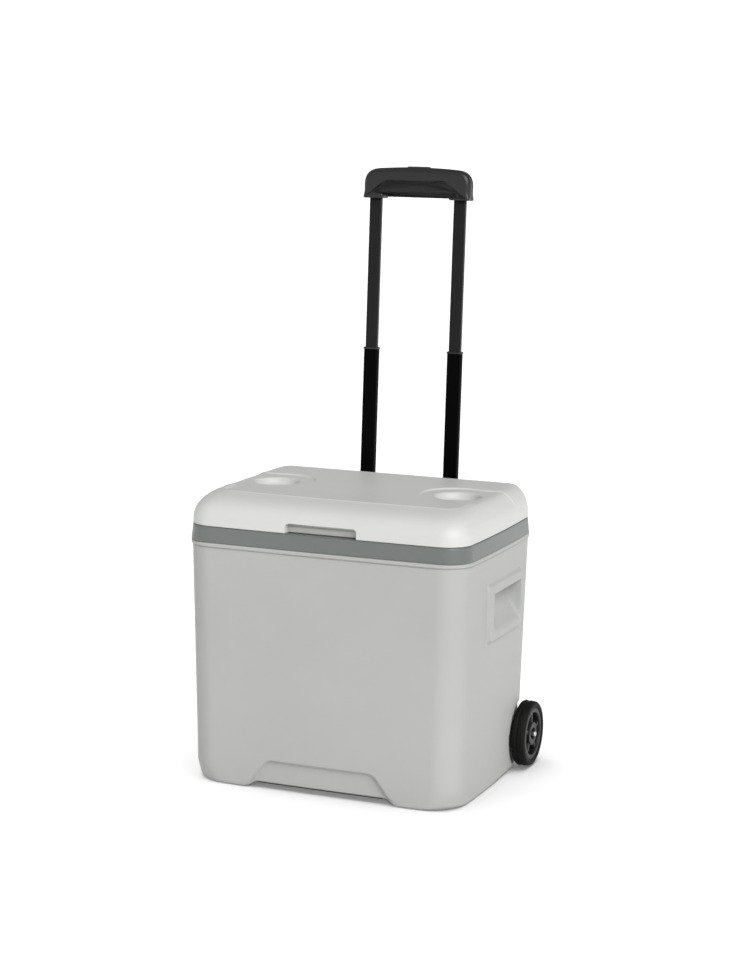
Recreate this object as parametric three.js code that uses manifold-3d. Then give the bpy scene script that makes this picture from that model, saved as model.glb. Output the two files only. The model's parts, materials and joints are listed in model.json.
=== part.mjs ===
// Cooler on wheels: insulated tub with a hinged lid, a two-stage pull handle and two wheels.
// Millimetres, +Z up, the front faces -Y, the wheels and the handle are at the rear (+Y).
import * as THREE from 'three';
import { mergeVertices } from 'three/addons/utils/BufferGeometryUtils.js';
import Module from 'manifold-3d';

const wasm = await Module();
wasm.setup();

// ---- driving dimensions ----
const Y_SHIFT = 32.25;         // moves the tub's own centre forward so the whole object is centred
const WALL_TOP = 371;          // tub wall height, under the collar
const WALL_XH = [215.2, 223.5];  // tub half width at the floor and at WALL_TOP
const WALL_YH = [154.5, 159.5];  // tub half depth at the floor and at WALL_TOP
const BOW_F = 2.3, BOW_S = 2.4;  // outward bow of the front and of the sides
const R_FRONT = 42, R_REAR = 33; // vertical corner radii
const T = 3;                   // moulded wall thickness
const GAP = 0.3;               // clearance between neighbouring pieces
const BEAD = 2;                // raised rim bead under the collar
const COLLAR = [371.0, 394.8];
const LID_Z = [395.4, 443.2];
const MOUTH_XH = 190.2, MOUTH_YH = 130.2, MOUTH_R = 28;
const CUP = { x: 149, y: 14, r: 36, depth: 11 };
const DISH_R = 62, DISH_DEPTH = 2.4, PANEL_DEPTH = 1.6;
const NOTCH_XH = 57, NOTCH_TOP = 410.5, NOTCH_DEPTH = 13;
const HINGE = { y: 166.5, z: 432, r: 6.5, pin: 2.5, bore: 2.57, x: 150 };
const HANDLE_X = 70.8;         // half the distance between the handle tubes
const HANDLE_Y0 = 176.72, HANDLE_TILT = Math.atan(0.042);
const GUIDE = { w: 28, d: 17, t: 1.7, z: [62, 364] };
const MID = { w: 23, d: 13, t: 1.2, z: [322, 632.5] };
const INN = { w: 19.4, d: 9.8, t: 1.2, z: [557, 886] };
const GRIP = { xh: 90.5, z0: 872, under: 893, top: 921.5, dh: 13, sock: 54.5 };
const WHEEL = { y: 137, r: 51.5, x0: 214, x1: 240 };
const AXLE_R = 4, AXLE_BORE = 4.07;
const WELL_R = 55, WELL_X = 209.5;

// ---- building blocks ----
const lerp = (a, b, t) => a + (b - a) * t;
const V = (x, y, z) => [x, y, z];

function toGeometry(pos, idx) {
  const g = new THREE.BufferGeometry();
  g.setAttribute('position', new THREE.Float32BufferAttribute(pos.flat(), 3));
  g.setIndex(idx);
  return g;
}
function solid(geometry) {
  let g = geometry.clone();
  for (const k of Object.keys(g.attributes)) if (k !== 'position') g.deleteAttribute(k);
  g.morphAttributes = {};
  g.clearGroups();
  g = mergeVertices(g, 1e-4);
  const p = g.attributes.position.array, ix = Array.from(g.index.array);
  let vol = 0;
  for (let i = 0; i < ix.length; i += 3) {
    const [a, b, c] = [ix[i] * 3, ix[i + 1] * 3, ix[i + 2] * 3];
    vol += p[a] * (p[b + 1] * p[c + 2] - p[b + 2] * p[c + 1])
      - p[a + 1] * (p[b] * p[c + 2] - p[b + 2] * p[c])
      + p[a + 2] * (p[b] * p[c + 1] - p[b + 1] * p[c]);
  }
  if (vol < 0) for (let i = 0; i < ix.length; i += 3) [ix[i + 1], ix[i + 2]] = [ix[i + 2], ix[i + 1]];
  return new wasm.Manifold(new wasm.Mesh({
    numProp: 3, vertProperties: new Float32Array(p), triVerts: new Uint32Array(ix),
  }));
}
const join = (...s) => s.reduce((a, b) => a.add(b));
const cut = (a, ...s) => s.reduce((m, b) => m.subtract(b), a);

// closed loft through rings of equal point count
function loft(rings) {
  const n = rings[0].length, pos = rings.flat(), idx = [];
  for (let i = 0; i + 1 < rings.length; i++) {
    for (let j = 0; j < n; j++) {
      const a = i * n + j, b = i * n + (j + 1) % n, c = a + n, d = b + n;
      idx.push(a, b, d, a, d, c);
    }
  }
  const cap = (ring, base, want) => {
    const e = [0, 1, 2].map((k) => Math.max(...ring.map((p) => p[k])) - Math.min(...ring.map((p) => p[k])));
    const drop = e.indexOf(Math.min(...e));
    const [u, v] = [0, 1, 2].filter((k) => k !== drop);
    const pts = ring.map((p) => new THREE.Vector2(p[u], p[v]));
    for (const [a, b, c] of THREE.ShapeUtils.triangulateShape(pts, [])) {
      const turn = (pts[b].x - pts[a].x) * (pts[c].y - pts[a].y) - (pts[b].y - pts[a].y) * (pts[c].x - pts[a].x);
      const along = (drop === 1 ? -turn : turn) > 0;
      idx.push(base + a, base + (along === want ? b : c), base + (along === want ? c : b));
    }
  };
  const c0 = centroid(rings[0]), c1 = centroid(rings[rings.length - 1]);
  const dir = [0, 1, 2].map((k) => c1[k] - c0[k]);
  const axis = dir.map(Math.abs).indexOf(Math.max(...dir.map(Math.abs)));
  const positive = dir[axis] > 0;
  cap(rings[0], 0, !positive);
  cap(rings[rings.length - 1], (rings.length - 1) * n, positive);
  // side faces follow the ring order: make them agree with the caps
  const pts = rings[0].map((p) => {
    const [u, v] = [0, 1, 2].filter((k) => k !== axis);
    return new THREE.Vector2(p[u], p[v]);
  });
  const ccw = THREE.ShapeUtils.area(pts) * (axis === 1 ? -1 : 1) > 0;
  if (ccw !== positive) {
    const sides = (rings.length - 1) * n * 6;
    for (let i = 0; i < sides; i += 3) [idx[i + 1], idx[i + 2]] = [idx[i + 2], idx[i + 1]];
  }
  return solid(toGeometry(pos, idx));
}
function centroid(r) {
  return [0, 1, 2].map((k) => r.reduce((s, p) => s + p[k], 0) / r.length);
}
const box = (x0, x1, y0, y1, z0, z1) => loft([z0, z1].map((z) => [V(x0, y0, z), V(x1, y0, z), V(x1, y1, z), V(x0, y1, z)]));
const prismY = (poly, y0, y1) => loft([y0, y1].map((y) => poly.map(([x, z]) => V(x, y, z))));
const prismX = (poly, x0, x1) => loft([x0, x1].map((x) => poly.map(([y, z]) => V(x, y, z))));
// round bar along X through stations [x, radius]
function barX(cy, cz, stations, n = 32) {
  return loft(stations.map(([x, r]) => Array.from({ length: n }, (_, i) => {
    const a = 2 * Math.PI * i / n;
    return V(x, cy + r * Math.cos(a), cz + r * Math.sin(a));
  })));
}
function barZ(cx, cy, stations, n = 32) {
  return loft(stations.map(([z, r]) => Array.from({ length: n }, (_, i) => {
    const a = 2 * Math.PI * i / n;
    return V(cx + r * Math.cos(a), cy + r * Math.sin(a), z);
  })));
}
// ring about an X axis from a closed profile of [x, radius]
function ringX(cy, cz, prof, n = 40) {
  const m = prof.length, pos = [], idx = [];
  for (let i = 0; i < n; i++) {
    const a = 2 * Math.PI * i / n;
    for (const [x, r] of prof) pos.push(V(x, cy + r * Math.cos(a), cz + r * Math.sin(a)));
  }
  for (let i = 0; i < n; i++) {
    for (let j = 0; j < m; j++) {
      const a = i * m + j, b = i * m + (j + 1) % m, c = ((i + 1) % n) * m + j, d = ((i + 1) % n) * m + (j + 1) % m;
      idx.push(a, b, d, a, d, c);
    }
  }
  return solid(toGeometry(pos, idx));
}
// rounded rectangle outline with bowed front and sides, counterclockwise from above
function outline(z, xh, yf, yr, rf, rr, bf = 0, bs = 0, n = 6, yc = 0) {
  const pts = [];
  const arc = (cx, cy, r, t0) => {
    for (let i = 0; i <= n; i++) {
      const t = t0 + (Math.PI / 2) * i / n;
      pts.push(V(cx + r * Math.cos(t), yc + cy + r * Math.sin(t), z));
    }
  };
  arc(-xh + rf, -yf + rf, rf, Math.PI);
  for (let i = 1; i <= 5; i++) {
    const s = lerp(-xh + rf, xh - rf, i / 6);
    pts.push(V(s, yc - yf - bf * (1 - (s / (xh - rf)) ** 2), z));
  }
  arc(xh - rf, -yf + rf, rf, -Math.PI / 2);
  for (let i = 1; i <= 3; i++) {
    const m = i / 4;
    pts.push(V(xh + bs * 4 * m * (1 - m), yc + lerp(-yf + rf, yr - rr, m), z));
  }
  arc(xh - rr, yr - rr, rr, 0);
  pts.push(V(0, yc + yr, z));
  arc(-xh + rr, yr - rr, rr, Math.PI / 2);
  for (let i = 1; i <= 3; i++) {
    const m = 1 - i / 4;
    pts.push(V(-xh - bs * 4 * m * (1 - m), yc + lerp(-yf + rf, yr - rr, m), z));
  }
  return pts;
}
const wall = (z, o, r = 0) => outline(z,
  lerp(WALL_XH[0], WALL_XH[1], z / WALL_TOP) + o,
  lerp(WALL_YH[0], WALL_YH[1], z / WALL_TOP) + o,
  lerp(WALL_YH[0], WALL_YH[1], z / WALL_TOP) + o,
  R_FRONT + o + r, R_REAR + o, BOW_F, BOW_S);

// ---- tub: outer shell ----
const sideBoss = (sx) => {
  const ring = (x, o) => {
    const [y0, y1, z0, z1, r] = [-67 + o, 98 - o, 226 + o, 325 - o * 1.6, 9];
    const pts = [];
    for (const [cy, cz, t0] of [[y1 - r, z1 - r, 0], [y0 + r, z1 - r, 1], [y0 + r, z0 + r, 2], [y1 - r, z0 + r, 3]]) {
      for (let i = 0; i <= 4; i++) {
        const t = (t0 + i / 4) * Math.PI / 2;
        pts.push(V(sx * x, cy + r * Math.cos(t), cz + r * Math.sin(t)));
      }
    }
    return pts;
  };
  return loft([ring(214, 0), ring(223.6, 0), ring(228.4, 4)]);
};
// scooped finger pocket under the boss's upper lip
const pocket = (sx, o) => {
  const prof = [[240, 306 + o], [222, 308 + o], [210 - o, 306 + o], [205 - o, 299], [207 - o, 284],
    [213 - o, 268], [221 - o, 255 - o], [229, 247 - o], [240, 238 - o]];
  return loft([-38 - o, 88 + o].map((y) => prof.map(([x, z]) => V(sx * x, y, z))));
};
const channel = (o) => prismY([[-118 - 1.2 * o, -2], [118 + 1.2 * o, -2], [104 + 0.4 * o, 12 + o], [-104 - 0.4 * o, 12 + o]], -175, 175);
const toeKick = (o) => {
  const f = (y, top, x1, x0) => [V(-x0, y, 6), V(x0, y, 6), V(x1 + 4, y, top - 4), V(x1, y, top), V(-x1, y, top), V(-x1 - 4, y, top - 4)];
  return loft([f(-166, 50 + o, 90 + o, 130 + o), f(-157.6, 46 + o, 86 + o, 118 + o), f(-151.4 + o, 41 + o, 82 + o, 110 + o)]);
};
const floorRelief = prismX([[-60, 0], [-60, -2], [175, -2], [175, 3.3]], -240, 240);

const shellOuter = loft([wall(0, -6, 14), wall(1.8, -2.2, 13), wall(6, 0, 11), wall(28, 0, 0), wall(364.4, 0),
  wall(366, BEAD), wall(369.6, BEAD), wall(370.7, BEAD - 0.9)]);
const shellInner = (o) => loft([wall(T + o, -T - o - 8, 8), wall(T + 8, -T - o, 2), wall(28, -T - o), wall(378, -T - o)]);
const wellCut = (sx, o) => barX(WHEEL.y, WHEEL.r, [[sx * (WELL_X - o), WELL_R + o], [sx * 250, WELL_R + o]], 48);
const bosses = join(sideBoss(1), sideBoss(-1));
const backing = (o) => [pocket(1, T + o), pocket(-1, T + o), channel(T + o), toeKick(T + o), wellCut(1, T + o), wellCut(-1, T + o)];
const axleHole = (r) => barX(WHEEL.y, WHEEL.r, [[-250, r], [250, r]], 32);

const outerShell = cut(join(shellOuter, bosses), cut(shellInner(0), ...backing(0)),
  pocket(1, 0), pocket(-1, 0), channel(0), toeKick(0), wellCut(1, 0), wellCut(-1, 0), floorRelief, axleHole(AXLE_R + 0.15));

// ---- tub: liner, foam, collar ----
const linerRing = (z, o, inset = 0) => {
  const t = (z - 38) / (WALL_TOP - 38);
  return outline(z, lerp(186.5, 192.7, t) + o - inset, lerp(123.5, 130.2 + 2.5, t) + o - inset, lerp(118.5, 130.2 + 2.5, t) + o - inset,
    MOUTH_R + o - Math.min(inset, 12), MOUTH_R + o - Math.min(inset, 12), 0, 0, 5);
};
const linerOuter = (o, top) => loft([linerRing(38 - o, o, 12), linerRing(41.5 - o, o, 3.6), linerRing(50, o), linerRing(top, o)]);
const linerFlange = loft([368.2, 370.7].map((z) => outline(z, 205, 145, 145, 38, 30, 0, 0, 5)));
const innerLiner = cut(join(linerOuter(0, 370.7), linerFlange), loft([linerRing(40.5, -2.5, 12), linerRing(44, -2.5, 3.6), linerRing(52, -2.5), linerRing(380, -2.5)]));

const foamCore = cut(loft([wall(T + GAP, -T - GAP - 8, 8), wall(T + 8, -T - GAP, 2), wall(28, -T - GAP), wall(367.9, -T - GAP)]),
  linerOuter(GAP, 380), ...backing(GAP), axleHole(AXLE_R + 0.5));

const band = (z, o) => {
  const t = (z - COLLAR[0]) / (COLLAR[1] - COLLAR[0]);
  return outline(z, lerp(224.6, 222.6, t) + o, lerp(160.6, 158.6, t) + o, lerp(160.6, 158.6, t) + o, 40 + o, R_REAR + o, BOW_F, BOW_S);
};
const mouth = (z, o, n = 5) => outline(z, MOUTH_XH + o, MOUTH_YH + o, MOUTH_YH + o, MOUTH_R + o, MOUTH_R + o, 0, 0, n);
const collarBand = cut(loft([band(COLLAR[0], -0.6), band(COLLAR[0] + 0.8, 0), band(COLLAR[1] - 1, 0), band(COLLAR[1], -0.8)]),
  loft([mouth(360, 0), mouth(400, 0)]),
  cut(loft([band(360, -T), band(COLLAR[1] - T, -T)]), loft([mouth(350, T), mouth(400, T)])));

// ---- lid ----
// side, front and rear insets of the lid's rounded shoulder
const LID_PROFILE = [[395.4, 0.8, 0.8, 0.8], [396.4, 0, 0, 0], [408, 0.4, 0.6, 0.2], [418, 2.6, 3.6, 0.6], [427, 7.2, 9.2, 1.2], [433, 11.8, 15.4, 2.8],
  [438, 17.2, 23.6, 6], [441.4, 23.4, 34, 10], [442.8, 29, 44, 14.5], [443.2, 34, 54, 18]];
const lidRing = (z, sx, fy, ry, o, dz = 0) => outline(z + dz, 222.6 - sx + o, 158.6 - fy + o, 158.6 - ry + o,
  Math.max(40 - 0.25 * sx + o, 12), Math.max(R_REAR - 0.4 * sx + o, 10), BOW_F, BOW_S);
const lidBody = (o, dz, z0) => loft([
  ...(z0 !== undefined ? [lidRing(z0, 0, 0, 0, o)] : []),
  ...LID_PROFILE.filter(([z]) => z0 === undefined || z > 396).map(([z, s, f, r]) => lidRing(z, s, f, r, o, dz))]);
const cup = (sx, o) => {
  const top = LID_Z[1] - DISH_DEPTH, r = CUP.r;
  return barZ(sx * CUP.x, CUP.y, [[top - CUP.depth - o, r - 9 + o], [top - CUP.depth + 3 - o, r - 3.5 + o], [top - 4 - o, r - 1 + o], [top + 6, r + 2 + o]], 32);
};
const dish = (sx, o) => {
  const ring = (z, k) => {
    const pts = [], R = DISH_R + k + o;
    for (let i = 0; i <= 14; i++) {
      const a = lerp(0.62 * Math.PI, 1.44 * Math.PI, i / 14) - Math.PI * 0.03;
      pts.push(V(sx * (CUP.x + R * Math.cos(a)), CUP.y + R * Math.sin(a) + 2, z));
    }
    const end = pts[pts.length - 1], start = pts[0];
    pts.push(V(sx * 188, -50 - k - o, z), V(sx * 240, -56 - k - o, z), V(sx * 240, 84 + k + o, z), V(sx * 186, 80 + k + o, z));
    return pts;
  };
  const z0 = LID_Z[1] - DISH_DEPTH - o;
  return loft([ring(z0, -2), ring(z0 + DISH_DEPTH + 4, 2)]);
};
const panel = (() => {
  const ring = (z, k) => [V(-188 - k, -44, z), V(-187 - k, -92 - k, z), V(-180 - k, -103 - k, z), V(-120, -107 - k, z), V(0, -109 - k, z), V(120, -107 - k, z),
    V(180 + k, -103 - k, z), V(187 + k, -92 - k, z), V(188 + k, -44, z), V(188 + k, 190, z), V(-188 - k, 190, z)];
  return loft([ring(LID_Z[1] - PANEL_DEPTH, -1.5), ring(LID_Z[1] + 4, 4)]);
})();
const notch = (o) => {
  const pts = [[-NOTCH_XH - o, 380], [NOTCH_XH + o, 380]];
  for (let i = 0; i <= 4; i++) pts.push([NOTCH_XH + o - 5 + 5 * Math.cos(Math.PI / 8 * i), NOTCH_TOP + o - 5 + 5 * Math.sin(Math.PI / 8 * i)]);
  for (let i = 0; i <= 4; i++) pts.push([-NOTCH_XH - o + 5 + 5 * Math.cos(Math.PI / 8 * (4 + i)), NOTCH_TOP + o - 5 + 5 * Math.sin(Math.PI / 8 * (4 + i))]);
  return prismY(pts, -175, -158.6 - BOW_F + NOTCH_DEPTH + o);
};
const knuckle = (sx) => {
  const x0 = sx * HINGE.x - 9.5, x1 = sx * HINGE.x + 9.5;
  const prof = [];
  for (let i = 0; i <= 12; i++) {
    const a = -Math.PI / 2 + Math.PI * i / 12;
    prof.push([HINGE.y + HINGE.r * Math.cos(a), HINGE.z + HINGE.r * Math.sin(a)]);
  }
  prof.push([156.6, HINGE.z + 4], [156.6, HINGE.z - 12], [158.6, HINGE.z - 12]);
  return prismX(prof, x0, x1);
};
const pinHole = (r) => barX(HINGE.y, HINGE.z, [[-200, r], [200, r]], 24);
const lidHollow = cut(lidBody(-T, -T, 390), notch(T), cup(1, T), cup(-1, T), dish(1, T), dish(-1, T),
  loft([LID_Z[1] - T - PANEL_DEPTH, 460].map((z) => outline(z, 240, 240, 240, 10, 10))));
const lidShell = cut(join(cut(lidBody(0, 0), lidHollow, panel, dish(1, 0), dish(-1, 0), cup(1, 0), cup(-1, 0), notch(0)), knuckle(1), knuckle(-1)), pinHole(HINGE.bore));

// lid underside: flange plate with a shallow plug that drops inside the mouth
const plug = (z, o) => outline(z, 186.4 + o, 126.4 + o, 126.4 + o, 25 + o, 25 + o, 0, 0, 5);
const lidEdge = (z, o) => outline(z, 222.6 - T - GAP + o, 158.6 - T - GAP + o, 158.6 - T - GAP + o, 36 + o, 29 + o, BOW_F, BOW_S, 5);
const lidLiner = cut(join(loft([lidEdge(398.5, -1), lidEdge(401, -1)]), loft([plug(381, -3), plug(383, 0), plug(399, 0)])),
  loft([plug(383.5, -2.5), plug(410, -2.5)]), notch(T + GAP));
const lidFoam = cut(join(
  loft([...[lidRing(401.3, 0, 0, 0, -T - GAP - 0.3)], ...LID_PROFILE.filter(([z]) => z > 408).map(([z, s, f, r]) => lidRing(z, s, f, r, -T - GAP - 0.3, -T - GAP))]),
  loft([plug(383.8, -2.8), plug(402, -2.8)])),
  notch(T + GAP + 0.3), cup(1, T + GAP), cup(-1, T + GAP), dish(1, T + GAP), dish(-1, T + GAP),
  loft([LID_Z[1] - T - GAP - PANEL_DEPTH, 460].map((z) => outline(z, 240, 240, 240, 10, 10))));
const sealRing = (z, o) => outline(z, 200 + o, 140 + o, 140 + o, 32 + o, 30 + o, 0, 0, 5);
const lidSeal = cut(loft([sealRing(395.1, 3.2), sealRing(396, 4), sealRing(398.2, 4)]), loft([sealRing(390, -4), sealRing(400, -4)]));

// ---- lid hinge, tub side ----
const hingeBracket = (sx) => {
  const base = prismX([[159.9, 338], [159.9, 362.5], [162.2, 364], [162.2, 373], [161.4, 374.5], [161.4, 404], [171, 404], [171, 380], [167, 338]],
    sx * HINGE.x - 22, sx * HINGE.x + 22);
  const ear = (x0, x1) => {
    const prof = [[160.9, 398], [160.9, 428]];
    for (let i = 0; i <= 12; i++) {
      const a = Math.PI * (1.12 - 1.12 * i / 12);
      prof.push([HINGE.y + (HINGE.r - 0.4) * Math.cos(a), HINGE.z + (HINGE.r - 0.4) * Math.sin(a)]);
    }
    prof.push([171, 398]);
    return prismX(prof, x0, x1);
  };
  const c = sx * HINGE.x;
  return cut(join(base, ear(c - 19, c - 10), ear(c + 10, c + 19)), pinHole(HINGE.bore));
};
const hingePin = (sx) => {
  const c = sx * HINGE.x;
  return barX(HINGE.y, HINGE.z, [[c - 21.6, 2], [c - 21, HINGE.pin], [c + 19.4, HINGE.pin], [c + 19.4, 4.2], [c + 21.4, 3.4]], 24);
};

// ---- pull handle ----
// handle frame: x across, v rearward, w along the tubes
const tilt = new THREE.Matrix4().makeRotationX(-HANDLE_TILT);
tilt.setPosition(0, HANDLE_Y0, 0);
const along = (z) => z / Math.cos(HANDLE_TILT);
function leaned(m) {
  const g = fromSolid(m);
  g.applyMatrix4(tilt);
  return solid(g);
}
function fromSolid(m) {
  const mesh = m.getMesh();
  const g = new THREE.BufferGeometry();
  const p = new Float32Array(mesh.numVert * 3);
  for (let i = 0; i < mesh.numVert; i++) for (let k = 0; k < 3; k++) p[i * 3 + k] = mesh.vertProperties[i * mesh.numProp + k];
  g.setAttribute('position', new THREE.BufferAttribute(p, 3));
  g.setIndex(Array.from(mesh.triVerts));
  return g;
}
function rectRing(w, hx, hy, r, cx, n = 3) {
  const pts = [];
  for (const [sx, sy, t0] of [[1, 1, 0], [-1, 1, 1], [-1, -1, 2], [1, -1, 3]]) {
    for (let i = 0; i <= n; i++) {
      const t = (t0 + i / n) * Math.PI / 2;
      pts.push(V(cx + sx * (hx - r) + r * Math.cos(t), sy * (hy - r) + r * Math.sin(t), w));
    }
  }
  return pts;
}
const rectBar = (z0, z1, w, d, r, cx) => loft([rectRing(along(z0), w / 2, d / 2, r, cx), rectRing(along(z1), w / 2, d / 2, r, cx)]);
const tube = (s, sx, r) => cut(rectBar(s.z[0], s.z[1], s.w, s.d, r, sx * HANDLE_X), rectBar(s.z[0] - 5, s.z[1] + 5, s.w - 2 * s.t, s.d - 2 * s.t, r - 0.7, sx * HANDLE_X));

const SCREW_Z = 880;
const screwBar = (sx, stations) => {
  const w = along(SCREW_Z), n = 16;
  return loft(stations.map(([v, r]) => Array.from({ length: n }, (_, i) => {
    const a = 2 * Math.PI * i / n;
    return V(sx * HANDLE_X + r * Math.cos(a), v, w + r * Math.sin(a));
  })));
};
const screwHole = (sx) => screwBar(sx, [[-20, 1.75], [9.4, 1.75]]);
const guideTube = (sx) => leaned(tube(GUIDE, sx, 3));
const midTube = (sx) => leaned(tube(MID, sx, 2.6));
const midCollar = (sx) => leaned(cut(
  loft([rectRing(along(632.8), 12.1, 7.1, 2.8, sx * HANDLE_X), rectRing(along(635), 12.1, 7.1, 2.8, sx * HANDLE_X), rectRing(along(636), 11.4, 6.4, 2.4, sx * HANDLE_X)]),
  rectBar(620, 640, INN.w + 0.7, INN.d + 0.7, 2.3, sx * HANDLE_X)));
const innerTube = (sx) => leaned(cut(tube(INN, sx, 2.2), screwHole(sx)));

const gripOutline = () => {
  const s = new THREE.Shape(), g = GRIP, X = g.xh, S = g.sock;
  s.moveTo(-X + 5, g.z0);
  s.lineTo(-S - 5, g.z0);
  s.quadraticCurveTo(-S, g.z0, -S, g.z0 + 5);
  s.lineTo(-S, g.under - 9);
  s.quadraticCurveTo(-S, g.under, -S + 10, g.under + 0.4);
  s.lineTo(S - 10, g.under + 0.4);
  s.quadraticCurveTo(S, g.under, S, g.under - 9);
  s.lineTo(S, g.z0 + 5);
  s.quadraticCurveTo(S, g.z0, S + 5, g.z0);
  s.lineTo(X - 5, g.z0);
  s.quadraticCurveTo(X - 0.5, g.z0, X - 0.4, g.z0 + 5);
  s.lineTo(X, g.under);
  s.bezierCurveTo(X, g.top - 10, X - 10, g.top - 3.6, X - 22, g.top - 2.6);
  s.quadraticCurveTo(0, g.top + 3, -X + 22, g.top - 2.6);
  s.bezierCurveTo(-X + 10, g.top - 3.6, -X, g.top - 10, -X, g.under);
  s.lineTo(-X + 0.4, g.z0 + 5);
  s.quadraticCurveTo(-X + 0.5, g.z0, -X + 5, g.z0);
  const pts = s.getPoints(5).filter((p, i, all) => p.distanceTo(all[(i + 1) % all.length]) > 0.05);
  return new THREE.Shape(pts);
};
const gripBody = (() => {
  const b = 3;
  const g = new THREE.ExtrudeGeometry(gripOutline(), { depth: 2 * (GRIP.dh - b), bevelEnabled: true, bevelThickness: b, bevelSize: b, bevelOffset: -b, bevelSegments: 3, curveSegments: 5, steps: 1 });
  // shape plane XY becomes XW, depth becomes v
  g.applyMatrix4(new THREE.Matrix4().makeBasis(new THREE.Vector3(1, 0, 0), new THREE.Vector3(0, 0, 1), new THREE.Vector3(0, -1, 0)));
  g.translate(0, GRIP.dh - b, 0);
  const k = 1 / Math.cos(HANDLE_TILT);
  g.scale(1, 1, k);
  return solid(g);
})();
const BUTTON = { xh: 19, vh: 5.6, z0: 912, z1: 924.2, travel: 3 };
const buttonRing = (z, o) => rectRing(along(z), BUTTON.xh + o, BUTTON.vh + o, 4 + o, 0, 4);
const gripHollow = join(rectBar(860, 886.6, INN.w + 0.6, INN.d + 0.6, 2.3, HANDLE_X), rectBar(860, 886.6, INN.w + 0.6, INN.d + 0.6, 2.3, -HANDLE_X),
  loft([buttonRing(BUTTON.z0 - BUTTON.travel - 0.8, 0.4), buttonRing(940, 0.4)]), screwHole(1), screwHole(-1),
  screwBar(1, [[-20, 3.5], [-10.8, 3.5]]), screwBar(-1, [[-20, 3.5], [-10.8, 3.5]]));
const gripWhole = cut(gripBody, gripHollow);
const gripFront = leaned(cut(gripWhole, box(-120, 120, -0.15, 40, 800, 960)));
const gripRear = leaned(cut(gripWhole, box(-120, 120, -40, 0.15, 800, 960)));
const pushButton = leaned(loft([buttonRing(BUTTON.z0, 0), buttonRing(BUTTON.z1 - 1.2, 0), buttonRing(BUTTON.z1, -1.4)]));
const gripScrew = (sx) => leaned(screwBar(sx, [[-12.6, 2.6], [-12, 3.2], [-11.1 - 0.02, 3.2], [-11.1, 1.6], [8.8, 1.6], [9.2, 1]]));

// brackets that carry the fixed guide tubes on the tub's rear wall
const guideCut = (z0, z1) => join(...[1, -1].map((s) => leaned(rectBar(z0, z1, GUIDE.w + 0.6, GUIDE.d + 0.6, 3.2, s * HANDLE_X))));
const roundedPlate = (xh, y0, y1, z0, z1, c) => loft([[z0, -c], [z0 + c, 0], [z1 - c, 0], [z1, -c]].map(([z, o]) => [
  V(-xh - o, y0, z), V(xh + o, y0, z), V(xh + o, y1 - 5 + o, z), V(xh - 5 + o, y1 + o, z), V(-xh + 5 - o, y1 + o, z), V(-xh - o, y1 - 5 + o, z)]));
const guideBracket = cut(roundedPlate(92, 159.75, 204.4, 330, 362, 1.5), guideCut(300, 380), box(-44, 44, 166.5, 220, 320, 370));
const baseBracket = cut(roundedPlate(92, 156.0, 193.2, 56, 84, 1.5), guideCut(61.7, 120), box(-44, 44, 162.5, 220, 50, 90));

// ---- wheels ----
const axle = barX(WHEEL.y, WHEEL.r, [[-240.6, AXLE_R - 0.6], [-240, AXLE_R], [240, AXLE_R], [240.6, AXLE_R - 0.6]], 32);
const tyre = (sx) => {
  const { x0, x1, r } = WHEEL;
  return ringX(WHEEL.y, WHEEL.r, [[x0, 40.6], [x0, 47.5], [x0 + 1.2, 49.6], [x0 + 4, 51.1], [x0 + 8, r], [x1 - 8, r], [x1 - 4, 51.1], [x1 - 1.2, 49.6], [x1, 47.5], [x1, 40.6]]
    .map(([x, q]) => [sx * x, q]), 48);
};
const hub = (sx) => {
  const rim = ringX(WHEEL.y, WHEEL.r, [[216, 34.5], [216, 40.3], [238.6, 40.3], [238.6, 35.5], [234, 34.5]].map(([x, q]) => [sx * x, q]), 40);
  const boss = ringX(WHEEL.y, WHEEL.r, [[211.5, AXLE_BORE], [211.5, 8.5], [216, 12], [221, 17.5], [225, 18.6], [237.4, 18.2], [238.6, 17], [238.6, 10.2], [237.6, 9.2], [232.6, 9], [232.6, AXLE_BORE]]
    .map(([x, q]) => [sx * x, q]), 32);
  const web = ringX(WHEEL.y, WHEEL.r, [[221, 16], [221, 36], [225, 36], [225, 16]].map(([x, q]) => [sx * x, q]), 40);
  const spokes = [0, 1, 2, 3, 4].map((i) => {
    const a = Math.PI / 2 + 2 * Math.PI * i / 5, c = Math.cos(a), s = Math.sin(a);
    const p = (u, v) => [WHEEL.y + u * c - v * s, WHEEL.r + u * s + v * c];
    return prismX([p(16, -3.4), p(36, -3), p(36, 3), p(16, 3.4)], sx * 224, sx * 235.6);
  });
  return join(rim, boss, web, ...spokes);
};
const axleCap = (sx) => barX(WHEEL.y, WHEEL.r, [[sx * 240.9, 4.4], [sx * 242.2, 4.1], [sx * 243.2, 3.2], [sx * 243.6, 1.4]], 24);

// ---- assembly ----
const part = new THREE.Group();
part.name = 'cooler_on_wheels';
function put(name, m, color, roughness, metalness = 0) {
  const g = fromSolid(m);
  g.translate(0, -Y_SHIFT, 0);
  g.computeVertexNormals();
  const mesh = new THREE.Mesh(g, new THREE.MeshStandardMaterial({ color, roughness, metalness, name }));
  mesh.name = name;
  part.add(mesh);
}
const PALE = 0xc9cac8, PALE_LID = 0xd2d3d1, GREY = 0x8f938f, BLACK = 0x141414, LINER = 0xe6e7e6, FOAM = 0xe8e0c4, STEEL = 0xb4b6b8, TUBE = 0x1b1b1c;
put('outer_shell', outerShell, PALE, 0.55);
put('foam_core', foamCore, FOAM, 0.95);
put('inner_liner', innerLiner, LINER, 0.45);
put('collar_band', collarBand, GREY, 0.5);
put('lid_shell', lidShell, PALE_LID, 0.5);
put('lid_foam', lidFoam, FOAM, 0.95);
put('lid_liner', lidLiner, LINER, 0.45);
put('lid_seal', lidSeal, 0x55585a, 0.8);
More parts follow.
